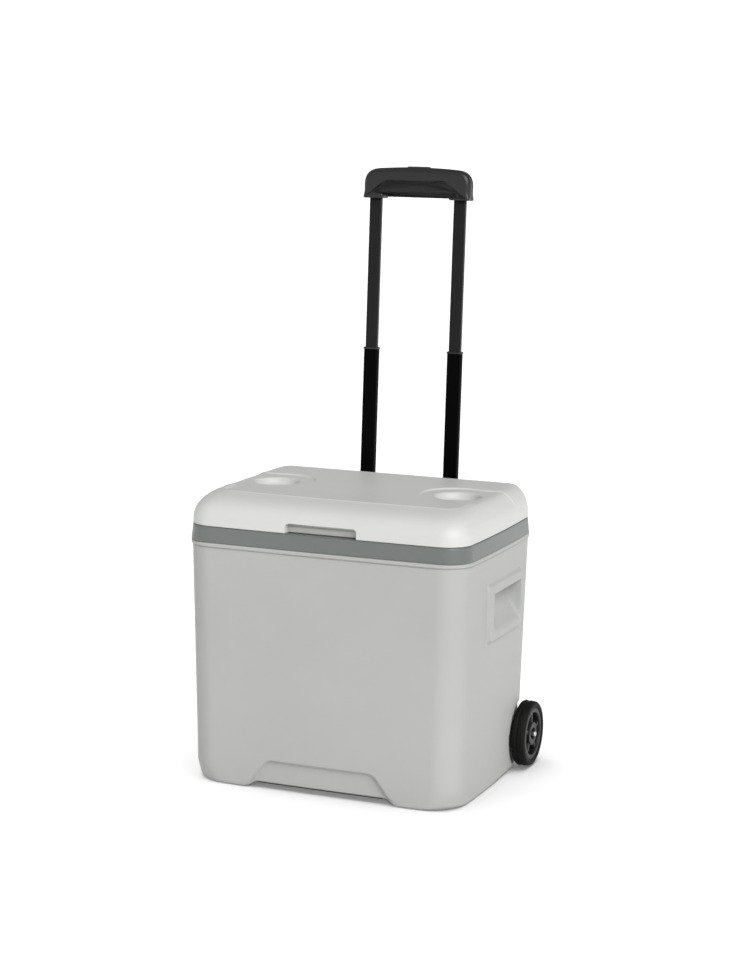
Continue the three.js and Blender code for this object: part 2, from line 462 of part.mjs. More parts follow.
for (const [s, k] of [[-1, 'L'], [1, 'R']]) {
  put(`hinge_bracket_${k}`, hingeBracket(s), PALE, 0.5);
  put(`hinge_pin_${k}`, hingePin(s), STEEL, 0.35, 1);
  put(`guide_tube_${k}`, guideTube(s), TUBE, 0.4, 0.3);
  put(`middle_tube_${k}`, midTube(s), TUBE, 0.35, 0.3);
  put(`middle_collar_${k}`, midCollar(s), BLACK, 0.5);
  put(`inner_tube_${k}`, innerTube(s), TUBE, 0.35, 0.3);
  put(`grip_screw_${k}`, gripScrew(s), 0x3a3a3c, 0.35, 1);
  put(`tyre_${k}`, tyre(s), 0x101010, 0.8);
  put(`wheel_hub_${k}`, hub(s), 0x1a1a1a, 0.5);
  put(`axle_cap_${k}`, axleCap(s), STEEL, 0.25, 1);
}
put('guide_bracket', guideBracket, BLACK, 0.5);
put('base_bracket', baseBracket, BLACK, 0.5);
put('grip_front', gripFront, BLACK, 0.45);
put('grip_rear', gripRear, BLACK, 0.45);
put('push_button', pushButton, 0x2e2e30, 0.45);
put('axle', axle, STEEL, 0.35, 1);

export default part;
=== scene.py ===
# Looks of the cooler on wheels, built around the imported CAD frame. Metres, +Z up, front faces -Y.
import json
import math

import bmesh
import bpy
import numpy as np
from mathutils import Matrix, Vector
from mathutils.geometry import delaunay_2d_cdt


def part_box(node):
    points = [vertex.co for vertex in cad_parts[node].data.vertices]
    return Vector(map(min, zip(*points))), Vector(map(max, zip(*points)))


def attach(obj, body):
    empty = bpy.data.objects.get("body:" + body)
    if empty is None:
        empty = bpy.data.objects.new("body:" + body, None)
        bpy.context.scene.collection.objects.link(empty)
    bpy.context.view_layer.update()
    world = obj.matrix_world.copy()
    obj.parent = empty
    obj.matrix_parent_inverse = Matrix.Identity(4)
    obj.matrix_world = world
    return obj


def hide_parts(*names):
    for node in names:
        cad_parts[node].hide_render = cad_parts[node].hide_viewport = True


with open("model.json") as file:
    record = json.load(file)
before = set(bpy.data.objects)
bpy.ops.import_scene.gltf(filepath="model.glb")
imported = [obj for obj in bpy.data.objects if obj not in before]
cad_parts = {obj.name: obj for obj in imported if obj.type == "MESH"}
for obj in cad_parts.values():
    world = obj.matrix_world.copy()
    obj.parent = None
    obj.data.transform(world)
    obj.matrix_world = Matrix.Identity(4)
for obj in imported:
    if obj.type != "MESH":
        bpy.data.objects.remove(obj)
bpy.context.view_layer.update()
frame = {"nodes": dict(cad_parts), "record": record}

_lo, _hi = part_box("tyre_R")
# millimetres in the tub's own frame -> metres in the row frame
SHIFT = 137.0 - 1000 * (_lo.y + _hi.y) / 2


def row(v):
    v = np.asarray(v, float)
    return (v - np.array([0, SHIFT, 0])) * 0.001


# ------------------------------------------------------------------ small maths
def sstep(a, b, x):
    t = np.clip((np.asarray(x, float) - a) / (b - a), 0, 1)
    return t * t * (3 - 2 * t)


def smin(a, b, k):
    h = np.clip(0.5 + 0.5 * (b - a) / k, 0, 1)
    return b + (a - b) * h - k * h * (1 - h)


def smax(a, b, k):
    return -smin(-a, -b, k)


def pchip(xs, ys, x):
    xs, ys, x = np.asarray(xs, float), np.asarray(ys, float), np.asarray(x, float)
    h, d = np.diff(xs), np.diff(ys) / np.diff(xs)
    m = np.zeros(len(xs))
    m[0], m[-1] = d[0], d[-1]
    for i in range(1, len(xs) - 1):
        if d[i - 1] * d[i] > 0:
            w1, w2 = 2 * h[i] + h[i - 1], h[i] + 2 * h[i - 1]
            m[i] = (w1 + w2) / (w1 / d[i - 1] + w2 / d[i])
    k = np.clip(np.searchsorted(xs, x) - 1, 0, len(xs) - 2)
    t = np.clip((x - xs[k]) / h[k], 0, 1)
    t2, t3 = t * t, t * t * t
    return ((2 * t3 - 3 * t2 + 1) * ys[k] + (t3 - 2 * t2 + t) * h[k] * m[k]
            + (-2 * t3 + 3 * t2) * ys[k + 1] + (t3 - t2) * h[k] * m[k + 1])


# ------------------------------------------------------------------ materials
def socket(node, name, value):
    if name in node.inputs:
        node.inputs[name].default_value = value


def material(name, colour, rough, grain=900.0, bump=0.12, blotch=0.05, spec=0.5, metallic=0.0, coat=0.0,
             rough_var=0.06, streak=None, aniso=0.0, sheen=0.0, second=None):
    """Procedural surface: base colour with soft large variation, fine moulded or brushed grain in bump and roughness."""
    m = bpy.data.materials.new(name)
    m.use_nodes = True
    nt = m.node_tree
    nt.nodes.clear()
    N, L = nt.nodes.new, nt.links.new
    out, bsdf, co = N("ShaderNodeOutputMaterial"), N("ShaderNodeBsdfPrincipled"), N("ShaderNodeTexCoord")
    L(bsdf.outputs[0], out.inputs[0])
    socket(bsdf, "Metallic", metallic)
    socket(bsdf, "Specular IOR Level", spec)
    socket(bsdf, "Coat Weight", coat)
    socket(bsdf, "Coat Roughness", 0.25)
    socket(bsdf, "Sheen Weight", sheen)
    socket(bsdf, "Anisotropic", aniso)
    # colour: large soft clouds and a fine speckle
    big, fine = N("ShaderNodeTexNoise"), N("ShaderNodeTexNoise")
    socket(big, "Scale", 5.0); socket(big, "Detail", 3.0); socket(big, "Roughness", 0.55)
    socket(fine, "Scale", grain); socket(fine, "Detail", 2.0); socket(fine, "Roughness", 0.6)
    src = co.outputs["Object"]
    if streak:
        mp = N("ShaderNodeMapping")
        mp.inputs["Scale"].default_value = streak
        L(co.outputs["Object"], mp.inputs["Vector"])
        src = mp.outputs[0]
    L(co.outputs["Object"], big.inputs["Vector"])
    L(src, fine.inputs["Vector"])
    ramp = N("ShaderNodeValToRGB")
    c = np.array(colour, float)
    lo, hi = c * (1 - blotch), np.minimum(c * (1 + blotch), 1)
    if second is not None:
        hi = np.array(second, float)
    ramp.color_ramp.elements[0].position, ramp.color_ramp.elements[1].position = 0.32, 0.68
    ramp.color_ramp.elements[0].color, ramp.color_ramp.elements[1].color = (*lo, 1), (*hi, 1)
    L(big.outputs["Fac"], ramp.inputs["Fac"])
    speck = N("ShaderNodeMix"); speck.data_type = "RGBA"; speck.blend_type = "MULTIPLY"
    sr = N("ShaderNodeMapRange")
    for k, v in (("From Min", 0.3), ("From Max", 0.7), ("To Min", 1 - 0.5 * blotch), ("To Max", 1.0)):
        socket(sr, k, v)
    L(fine.outputs["Fac"], sr.inputs["Value"])
    speck.inputs["Factor"].default_value = 1.0
    L(ramp.outputs["Color"], speck.inputs[6])
    L(sr.outputs["Result"], speck.inputs[7])
    L(speck.outputs[2], bsdf.inputs["Base Color"])
    # roughness follows both scales
    rr = N("ShaderNodeMapRange")
    for k, v in (("From Min", 0.3), ("From Max", 0.7), ("To Min", max(rough - rough_var, 0.03)), ("To Max", min(rough + rough_var, 1))):
        socket(rr, k, v)
    mixr = N("ShaderNodeMath"); mixr.operation = "ADD"
    half = N("ShaderNodeMath"); half.operation = "MULTIPLY"; half.inputs[1].default_value = 0.5
    half2 = N("ShaderNodeMath"); half2.operation = "MULTIPLY"; half2.inputs[1].default_value = 0.5
    L(big.outputs["Fac"], half.inputs[0]); L(fine.outputs["Fac"], half2.inputs[0])
    L(half.outputs[0], mixr.inputs[0]); L(half2.outputs[0], mixr.inputs[1])
    L(mixr.outputs[0], rr.inputs["Value"])
    L(rr.outputs["Result"], bsdf.inputs["Roughness"])
    b = N("ShaderNodeBump")
    socket(b, "Strength", bump); socket(b, "Distance", 0.0004)
    L(fine.outputs["Fac"], b.inputs["Height"])
    L(b.outputs["Normal"], bsdf.inputs["Normal"])
    return m


MATS = {
    "pale_plastic": material("shell_plastic", (0.338, 0.342, 0.333), 0.52, grain=1500, bump=0.10, blotch=0.022, spec=0.35),
    # painted highlight: the lid is the shell's own plastic made lighter, to stand in for the stronger light that falls
    # on the tilted lid
    "lid_plastic": material("lid_plastic", (0.490, 0.495, 0.483), 0.46, grain=1500, bump=0.08, blotch=0.020, spec=0.40),
    "grey_plastic": material("band_plastic", (0.112, 0.121, 0.115), 0.34, grain=1300, bump=0.08, blotch=0.035, spec=0.5),
    "liner_plastic": material("liner_plastic", (0.74, 0.75, 0.745), 0.38, grain=1100, bump=0.06, blotch=0.02, spec=0.5),
    "foam": material("foam", (0.72, 0.66, 0.48), 0.95, grain=420, bump=0.6, blotch=0.10, spec=0.1),
    "seal_rubber": material("seal_rubber", (0.085, 0.088, 0.09), 0.72, grain=900, bump=0.14, blotch=0.10, spec=0.35),
    "steel": material("steel", (0.56, 0.57, 0.58), 0.30, grain=500, bump=0.05, blotch=0.06, metallic=1.0, streak=(1, 6, 6)),
    "black_tube": material("tube_coating", (0.004, 0.004, 0.0042), 0.34, grain=2200, bump=0.10, blotch=0.20, spec=0.18, rough_var=0.05),
    "outer_tube": material("outer_tube_coating", (0.0014, 0.0014, 0.0015), 0.46, grain=2200, bump=0.10, blotch=0.20, spec=0.02, rough_var=0.05),
    "black_plastic": material("grip_plastic", (0.0075, 0.0075, 0.0078), 0.40, grain=1700, bump=0.16, blotch=0.18, spec=0.42),
    "screw_steel": material("screw_steel", (0.05, 0.05, 0.052), 0.38, grain=600, bump=0.06, blotch=0.10, metallic=1.0),
    "button_plastic": material("button_plastic", (0.035, 0.035, 0.037), 0.34, grain=1700, bump=0.10, blotch=0.12, spec=0.5),
    "tyre": material("tyre_rubber", (0.0045, 0.0044, 0.0040), 0.62, grain=1100, bump=0.30, blotch=0.25, spec=0.12),
    "hub_plastic": material("hub_plastic", (0.009, 0.009, 0.0093), 0.42, grain=1500, bump=0.14, blotch=0.15, spec=0.26),
}


# ------------------------------------------------------------------ mesh building
def finish_mesh(me, angle):
    bm = bmesh.new()
    bm.from_mesh(me)
    bmesh.ops.remove_doubles(bm, verts=bm.verts, dist=2e-6)
    bmesh.ops.dissolve_degenerate(bm, edges=bm.edges, dist=1e-7)
    bmesh.ops.recalc_face_normals(bm, faces=bm.faces)
    for f in bm.faces:
        f.smooth = True
    bm.to_mesh(me)
    bm.free()
    me.set_sharp_from_angle(angle=math.radians(angle))


def build(name, parts, slot, angle=48):
    """One object from (vertices in mm, faces) pieces."""
    vs, fs, base = [], [], 0
    for v, f in parts:
        v = np.asarray(v, float)
        vs.append(v)
        fs += [[base + i for i in face] for face in f]
        base += len(v)
    me = bpy.data.meshes.new(name)
    me.from_pydata(row(np.vstack(vs)).tolist(), [], fs)
    finish_mesh(me, angle)
    ob = bpy.data.objects.new(name, me)
    bpy.context.scene.collection.objects.link(ob)
    me.materials.append(MATS[slot])
    return ob


def place(ob, body, slot, *nodes):
    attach(ob, body)
    if nodes:
        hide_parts(*nodes)
    return ob


def grid(rings, cap0=False, cap1=False, closed_rows=False):
    """Quads through a (rows, columns, 3) array of closed rings."""
    g = np.asarray(rings, float)
    r, n = g.shape[:2]
    faces = []
    rr = r if closed_rows else r - 1
    for i in range(rr):
        a0, b0 = i * n, ((i + 1) % r) * n
        for j in range(n):
            k = (j + 1) % n
            faces.append((a0 + j, a0 + k, b0 + k, b0 + j))
    if cap0:
        faces.append(tuple(range(n - 1, -1, -1)))
    if cap1:
        faces.append(tuple((r - 1) * n + j for j in range(n)))
    return g.reshape(-1, 3), faces


def boolean(ob, cutters, op="DIFFERENCE"):
    """Cuts with temporary objects and keeps only the finished mesh."""
    for c in cutters:
        md = ob.modifiers.new("cut", "BOOLEAN")
        md.operation, md.solver, md.object = op, "MANIFOLD", c
    dg = bpy.context.evaluated_depsgraph_get()
    me = bpy.data.meshes.new_from_object(ob.evaluated_get(dg))
    ob.modifiers.clear()
    old = ob.data
    ob.data = me
    me.name = old.name
    bpy.data.meshes.remove(old)
    for c in cutters:
        d = c.data
        bpy.data.objects.remove(c)
        bpy.data.meshes.remove(d)
    return ob


# rounded rectangle outlines with bowed front and sides; every argument may be a column of row values
class Columns:
    def __init__(self, front, fc, side_abs, rc, rear, lead=4, trail=6):
        self.front, self.fc, self.side, self.rc, self.rear = np.asarray(front, float), fc, np.asarray(side_abs, float), rc, np.asarray(rear, float)
        self.lead, self.trail = lead, trail

    def points(self, xh, yf, yr, rf, rr, bf=0.0, bs=0.0):
        xh, yf, yr, rf, rr, bf, bs = [np.asarray(v, float).reshape(-1, 1) if np.ndim(v) else np.full((1, 1), float(v)) for v in (xh, yf, yr, rf, rr, bf, bs)]
        R = max(v.shape[0] for v in (xh, yf, yr, rf, rr, bf, bs))
        xh, yf, yr, rf, rr, bf, bs = [np.repeat(v, R, 0) if v.shape[0] == 1 else v for v in (xh, yf, yr, rf, rr, bf, bs)]
        xs, ys, seg = [], [], []
        s = self.front[None]
        xs.append(s * (xh - rf)); ys.append(-yf - bf * (1 - s ** 2)); seg += ["F"] * s.size
        t = np.linspace(0, 1, self.fc + 2)[1:-1][None]
        a = -math.pi / 2 + t * math.pi / 2
        xs.append(xh - rf + rf * np.cos(a)); ys.append(-yf + rf + rf * np.sin(a)); seg += ["C"] * t.size
        y0, y1 = -yf + rf, yr - rr
        lead = np.linspace(0, 1, self.lead + 1)[:-1][None]
        trail = np.linspace(0, 1, self.trail + 1)[1:][None]
        side = np.repeat(self.side[None], R, 0)
        ya = np.concatenate([y0 + (side[:, :1] - y0) * lead, side, side[:, -1:] + (y1 - side[:, -1:]) * trail], 1)
        m = (ya - y0) / (y1 - y0)
        xa = xh + bs * 4 * m * (1 - m)
        xs.append(xa); ys.append(ya); seg += ["S"] * ya.shape[1]
        t = np.linspace(0, 1, self.rc + 2)[1:-1][None]
        a = t * math.pi / 2
        xs.append(xh - rr + rr * np.cos(a)); ys.append(yr - rr + rr * np.sin(a)); seg += ["D"] * t.size
        s = self.rear[None]
        xs.append(-s * (xh - rr)); ys.append(np.repeat(yr, s.size, 1)); seg += ["R"] * s.size
        a = math.pi / 2 + t * math.pi / 2
        xs.append(-xh + rr + rr * np.cos(a)); ys.append(yr - rr + rr * np.sin(a)); seg += ["D"] * t.size
        xs.append(-xa[:, ::-1]); ys.append(ya[:, ::-1]); seg += ["S"] * ya.shape[1]
        t = np.linspace(0, 1, self.fc + 2)[1:-1][None]
        a = math.pi + t * math.pi / 2
        xs.append(-xh + rf + rf * np.cos(a)); ys.append(-yf + rf + rf * np.sin(a)); seg += ["C"] * t.size
        self.seg = np.array(seg)
        return np.concatenate([np.broadcast_to(v, (R, v.shape[1])) for v in xs], 1), np.concatenate([np.broadcast_to(v, (R, v.shape[1])) for v in ys], 1)


def fill_inward(x, y, z, levels, zf=None, centre=(0.0, 0.0)):
    """Concentric rings from a boundary ring to a point; zf gives the height."""
    rows = []
    for k in levels:
        xx, yy = centre[0] + (x - centre[0]) * k, centre[1] + (y - centre[1]) * k
        rows.append(np.stack([xx, yy, zf(xx, yy) if zf else np.full_like(xx, z)], -1))
    return rows


def spaced(a, b, step):
    return np.linspace(a, b, max(2, int(round(abs(b - a) / step)) + 1))


# ------------------------------------------------------------------ tub: outer shell
WALL_TOP, BOW_F, BOW_S, T = 371.0, 2.3, 2.4, 3.0
WELL_R, WELL_X, WY, WZ = 53.2, 209.5, 137.0, 51.5


def wall_half(z):
    return 215.2 + 8.3 * z / WALL_TOP, 154.5 + 5.0 * z / WALL_TOP


def floor_height(x, y):
    h = 8 * (1 - sstep(103.5, 119, np.abs(x)))
    return np.maximum(h, 3.3 * np.clip((y + 60) / 235, 0, 1))


def pocket_x(z):
    zs, xs = [225, 238, 247, 255, 268, 284, 296, 302, 330], [252, 240, 229, 221, 213, 207, 205.2, 205.0, 205.4]
    acc = 0
    for d, w in ((-5, 1), (-2.5, 2), (0, 3), (2.5, 2), (5, 1)):
        acc = acc + w * np.interp(z + d, zs, xs)
    return acc / 9


def tub_surface(x, y, z):
    """Adds the toe-kick, side bosses, finger pockets, wheel wells and the raised floor to plain wall points."""
    x, y, z = x.copy(), y.copy(), z.copy()
    ax, sg = np.abs(x), np.sign(x)
    # floor relief lifts the lowest part of the wall
    h = floor_height(x, y)
    z = np.where(z < 28, h + z * (28 - h) / 28, z)
    # toe-kick recess on the front
    side = ((90 - ax) * 36 + (42 - z) * 28) / 45.6
    d = smin(46.6 - z, side, 7.0)
    kick = 6.4 * sstep(0, 5.6, d) * (y < -100)
    y = y + kick
    # side boss
    dy, dz = np.minimum(y + 58.5 - 0.11 * (318 - z), 98.5 - y), np.minimum((326 - z) * 0.66, (z - 231.5))
    d = smin(dy, dz, 7.0)
    w = sstep(0.2, 4.6, d)
    on_side = ax > 195
    xb = np.where(on_side, ax + (228.3 - ax) * w, ax)
    # finger pocket scooped under the boss's upper lip
    wy = sstep(-3.0, 20.0, y + 32) * sstep(-0.7, 2.0, 88 - y)
    wz = sstep(0, 1.5, 306.9 - z)
    xp = smin(xb, pocket_x(z), 8.0)
    xb = np.where(on_side & (z > 232), xb + (xp - xb) * wy * wz, xb)
    # wheel wells
    r = np.hypot(y - WY, z - WZ)
    ww = 1 - sstep(WELL_R - 0.7, WELL_R + 0.7, r)
    xb = xb + (np.minimum(xb, WELL_X) - xb) * ww
    return sg * xb, y, z


def build_tub():
    cols = Columns(
        front=np.concatenate([spaced(-1, -0.69, 0.04)[:-1], spaced(-0.69, 0.69, 0.0135), spaced(0.69, 1, 0.04)[1:]]),
        fc=18,
        side_abs=np.unique(np.concatenate([spaced(-72, -62, 3), spaced(-62, -40, 1.2), spaced(-40, -8, 1.6), spaced(-8, 84, 3.2), spaced(84, 104, 1.25)]).round(3)),
        rc=26, rear=spaced(-1, 1, 0.06), lead=5, trail=13)
    zs = np.unique(np.concatenate([[0, 0.7, 1.8, 3.2, 4.8], spaced(6, 52, 1.55), spaced(52, 108, 1.9), spaced(108, 222, 9.5), spaced(222, 236, 1.4),
                                   spaced(236, 300, 2.2), spaced(300, 304, 1.0), spaced(304, 309, 0.46), spaced(309, 329, 1.25), spaced(329, 362, 5.5)]).round(3))
    bead_z = np.array([362.9, 363.4, 364.0, 364.5, 364.7, 364.9, 365.3, 366.0, 367.1, 368.0, 368.9, 369.6, 370.1, 370.45, 370.65])
    bead_o = np.array([0.0, -0.45, -0.7, -0.55, 0.5, 1.3, 1.8, 1.97, 2.0, 2.0, 1.92, 1.66, 1.2, 0.6, 0.0])
    zz = np.concatenate([zs, bead_z])
    oo = np.concatenate([np.zeros(len(zs)), bead_o])
    xh, yh = wall_half(zz)
    grow = 14 * (1 - sstep(0, 30, zz))
    x, y = cols.points(xh + oo, yh + oo, yh + oo, 42 + oo + grow, 33 + oo, BOW_F, BOW_S)
    z = np.repeat(zz[:, None], x.shape[1], 1)
    # rounded lower edge: tight along the straights, fuller round the front corners
    n = x.shape[1]
    nx, ny = np.roll(y, -1, 1) - np.roll(y, 1, 1), -(np.roll(x, -1, 1) - np.roll(x, 1, 1))
    ln = np.hypot(nx, ny); nx, ny = nx / ln, ny / ln
    ang = np.arctan2(np.abs(nx), -ny)  # 0 front, 90 side
    corner = np.where(cols.seg[None] == "C", np.sin(np.clip(2 * ang, 0, math.pi)) ** 1.2, 0.0)
    rad = 4.0 + 4.0 * corner
    inset = np.where(z < rad, rad - np.sqrt(np.maximum(rad ** 2 - (rad - z) ** 2, 0)), 0)
    x, y = x - nx * inset, y - ny * inset
    X, Y, Z = tub_surface(x, y, z)
    rings = [np.stack([X[i], Y[i], Z[i]], -1) for i in range(len(zz))]
    # top rim and the inner face of the wall
    for o, zt in ((-0.6, 370.7), (-2.6, 370.7), (-3.0, 370.3), (-3.0, 366.0), (-3.0, 350.0)):
        a, b = wall_half(np.array([zt]))
        xi, yi = cols.points(a + o, b + o, b + o, 42 + o, 33 + o, BOW_F, BOW_S)
        rings.append(np.stack([xi[0], yi[0], np.full(n, zt)], -1))
    # underside
    x0, y0 = x[0], y[0]
    under = []
    for k in (0.985, 0.96, 0.92, 0.86, 0.78, 0.66, 0.5, 0.3, 0.12):
        xx, yy = x0 * k, y0 * k
        xs, ys, zs2 = tub_surface(xx, yy, np.zeros_like(xx))
        under.append(np.stack([xs, yy, floor_height(xx, yy)], -1))
    rings = under[::-1] + rings
    return place(build("tub_shell", [grid(rings, cap0=True)], "pale_plastic", 50), "tub", "pale_plastic", "outer_shell")


# ------------------------------------------------------------------ tub: collar band and liner
SIMPLE = Columns(front=spaced(-1, 1, 0.05), fc=14, side_abs=spaced(-80, 90, 8), rc=14, rear=spaced(-1, 1, 0.08), lead=3, trail=3)


def ring_rows(cols, rows):
    """rows of (z, xh, yf, yr, rf, rr, bf, bs)."""
    a = np.array(rows, float)
    x, y = cols.points(a[:, 1], a[:, 2], a[:, 3], a[:, 4], a[:, 5], a[:, 6], a[:, 7])
    return [np.stack([x[i], y[i], np.full(x.shape[1], a[i, 0])], -1) for i in range(len(a))]


def band_row(z, o):
    t = (z - 371) / 23.8
    return (z, 224.6 - 2 * t + o, 160.6 - 2 * t + o, 160.6 - 2 * t + o, 40 + o, 33 + o, BOW_F, BOW_S)


def mouth_row(z, o):
    return (z, 190.2 + o, 130.2 + o, 130.2 + o, 28 + o, 28 + o, 0, 0)


def mix_rows(a, b, t):
    return tuple(p + (q - p) * t for p, q in zip(a, b))


def build_collar():
    rows = [band_row(371.0, -3.0), band_row(371.0, -0.9), band_row(371.15, -0.45), band_row(371.5, -0.12), band_row(372.1, 0)]
    rows += [band_row(z, 0) for z in (376, 382, 388, 393.2)]
    rows += [band_row(393.9, -0.12), band_row(394.4, -0.42), band_row(394.7, -0.9), band_row(394.8, -1.5)]
    a, b = band_row(394.8, -1.5), mouth_row(394.8, 1.8)
    rows += [mix_rows(a, b, t) for t in (0.05, 0.25, 0.5, 0.75, 0.95)]
    rows += [mouth_row(394.8, 1.8), mouth_row(394.65, 1.0), mouth_row(394.2, 0.4), mouth_row(393.4, 0.08), mouth_row(392.4, 0)]
    rows += [mouth_row(z, 0) for z in (385, 378, 371.2)]
    rows += [mouth_row(371.0, 0.4), mouth_row(371.0, 2.8), mouth_row(374, 3.0), mouth_row(388, 3.0), mouth_row(391.8, 3.2)]
    c, d = mouth_row(391.8, 3.2), band_row(391.8, -3.0)
    rows += [mix_rows(c, d, t) for t in (0.3, 0.7)] + [band_row(391.8, -3.0), band_row(375, -3.0)]
    g = ring_rows(SIMPLE, rows)
    return place(build("collar_band_smooth", [grid(g, closed_rows=True)], "grey_plastic", 50), "tub", "grey_plastic", "collar_band")


def liner_row(z, o, inset=0.0):
    t = (z - 38) / 333.0
    r = 28 + o - min(inset, 14)
    return (z, 186.5 + 6.2 * t + o - inset, 123.5 + 9.2 * t + o - inset, 118.5 + 14.2 * t + o - inset, r, r, 0, 0)


def build_liner():
    rows = []
    R = 16.0
    for a in np.linspace(0, math.pi / 2, 8):  # outer bottom fillet
        rows.append(liner_row(38 + R - R * math.cos(a), 0, R - R * math.sin(a)))
    rows += [liner_row(z, 0) for z in (90, 180, 300, 366)]
    flange = lambda z, o: (z, 205 + o, 145 + o, 145 + o, 38 + o, 30 + o, 0, 0)
    rows += [mix_rows(liner_row(368.2, 0), flange(368.2, 0), t) for t in (0.02, 0.5, 0.97)]
    rows += [flange(368.5, 0), flange(370.3, 0), flange(370.7, -0.5)]
    rows += [mix_rows(flange(370.7, -0.5), liner_row(370.7, -1.5), t) for t in (0.4, 0.98)]
    rows += [liner_row(370.4, -2.1), liner_row(369.6, -2.5)]
    rows += [liner_row(z, -2.5) for z in (345, 300, 240, 180, 120, 80, 64)]
    R = 15.0
    for a in np.linspace(math.pi / 2, 0, 9):
        rows.append(liner_row(40.5 + R * (1 - math.cos(a)), -2.5, R * (1 - math.sin(a))))
    g = ring_rows(SIMPLE, rows)
    last, first = g[-1], g[0]
    yc = 0.5 * (last[:, 1].min() + last[:, 1].max())
    g += fill_inward(last[:, 0], last[:, 1], 40.5, (0.9, 0.75, 0.5, 0.2), None, (0, yc))
    g = fill_inward(first[:, 0], first[:, 1], 38.0, (0.2, 0.6, 0.9), None, (0, yc)) + g
    return place(build("cavity_liner", [grid(g, cap0=True, cap1=True)], "liner_plastic", 50), "tub", "liner_plastic", "inner_liner")


# ------------------------------------------------------------------ lid
LZ = np.array([395.4, 396.4, 408, 418, 427, 433, 438, 441.4, 442.8, 443.2])
LSX = np.array([0.8, 0, 0.4, 2.6, 7.2, 11.8, 17.2, 23.4, 29, 34])
LFY = np.array([0.8, 0, 0.6, 3.6, 9.8, 18, 30, 43, 48.6, 50.2])
LRY = np.array([0.8, 0, 0.2, 0.4, 0.8, 1.6, 3, 5.5, 8, 10])
LT = np.arange(len(LZ)) / (len(LZ) - 1)
CUP_X, CUP_Y, CUP_R, CUP_D, DISH_R, DISH_D = 149.0, 14.0, 36.0, 11.0, 59.0, 2.4
HY, HZ, HR = 166.5, 432.0, 6.5


def lid_rows(t):
    z, sx, fy, ry = (pchip(LT, v, t) for v in (LZ, LSX, LFY, LRY))
    return z, 222.6 - sx, 158.6 - fy, 158.6 - ry, np.maximum(40 - 0.25 * sx, 12), np.maximum(33 - 0.75 * sx, 8)


def lid_recess(x, y):
    """Depth of the moulded top features, without the cups: front panel step, dishes and their run-outs to the sides."""
    ax = np.abs(x)
    # panel: rounded front corners, fades out to the rear
    qx, qy = ax - (188 - 20), (-109 + 2 * (ax / 130) ** 2 - y) + 20
    sp = np.minimum(np.maximum(qx, qy), 0) + np.hypot(np.maximum(qx, 0), np.maximum(qy, 0)) - 20
    sd = sp
    panel = 2.2 * (1 - sstep(-2.0, 1.6, sd)) * (1 - sstep(-40, 70, y))
    # dish round each cup with a run-out over the side
    disc = np.hypot(ax - CUP_X, y - CUP_Y - 2) - DISH_R
    run = smax(np.abs(y - 11) - (61 + 2.5 * sstep(185, 225, ax)), 176 - ax, 14)
    sd = smin(disc, run, 10)
    dish = DISH_D * (1 - sstep(-2.0, 1.8, sd)) * (1 - 0.62 * sstep(184, 204, ax))
    # slim raised lip along the outer edge of both
    side = sstep(-4, 4, sp - sd)
    lip = 0.5 * np.exp(-((np.minimum(sp, sd) - 2.6) / 1.5) ** 2) * ((1 - side) * (1 - sstep(-40, 60, y)) + side)
    return smax(panel, dish, 0.35) - lip


def lid_cup(x, y):
    r = np.hypot(np.abs(x) - CUP_X, y - CUP_Y)
    # rounded lip, tapered wall, rounded floor edge
    return CUP_D * (1 - pchip([0, 24, 27, 29.6, 31.6, 33.4, 35.2, 37.4, 40, 70], [0, 0, 0.03, 0.15, 0.38, 0.72, 0.91, 0.98, 1, 1], r))


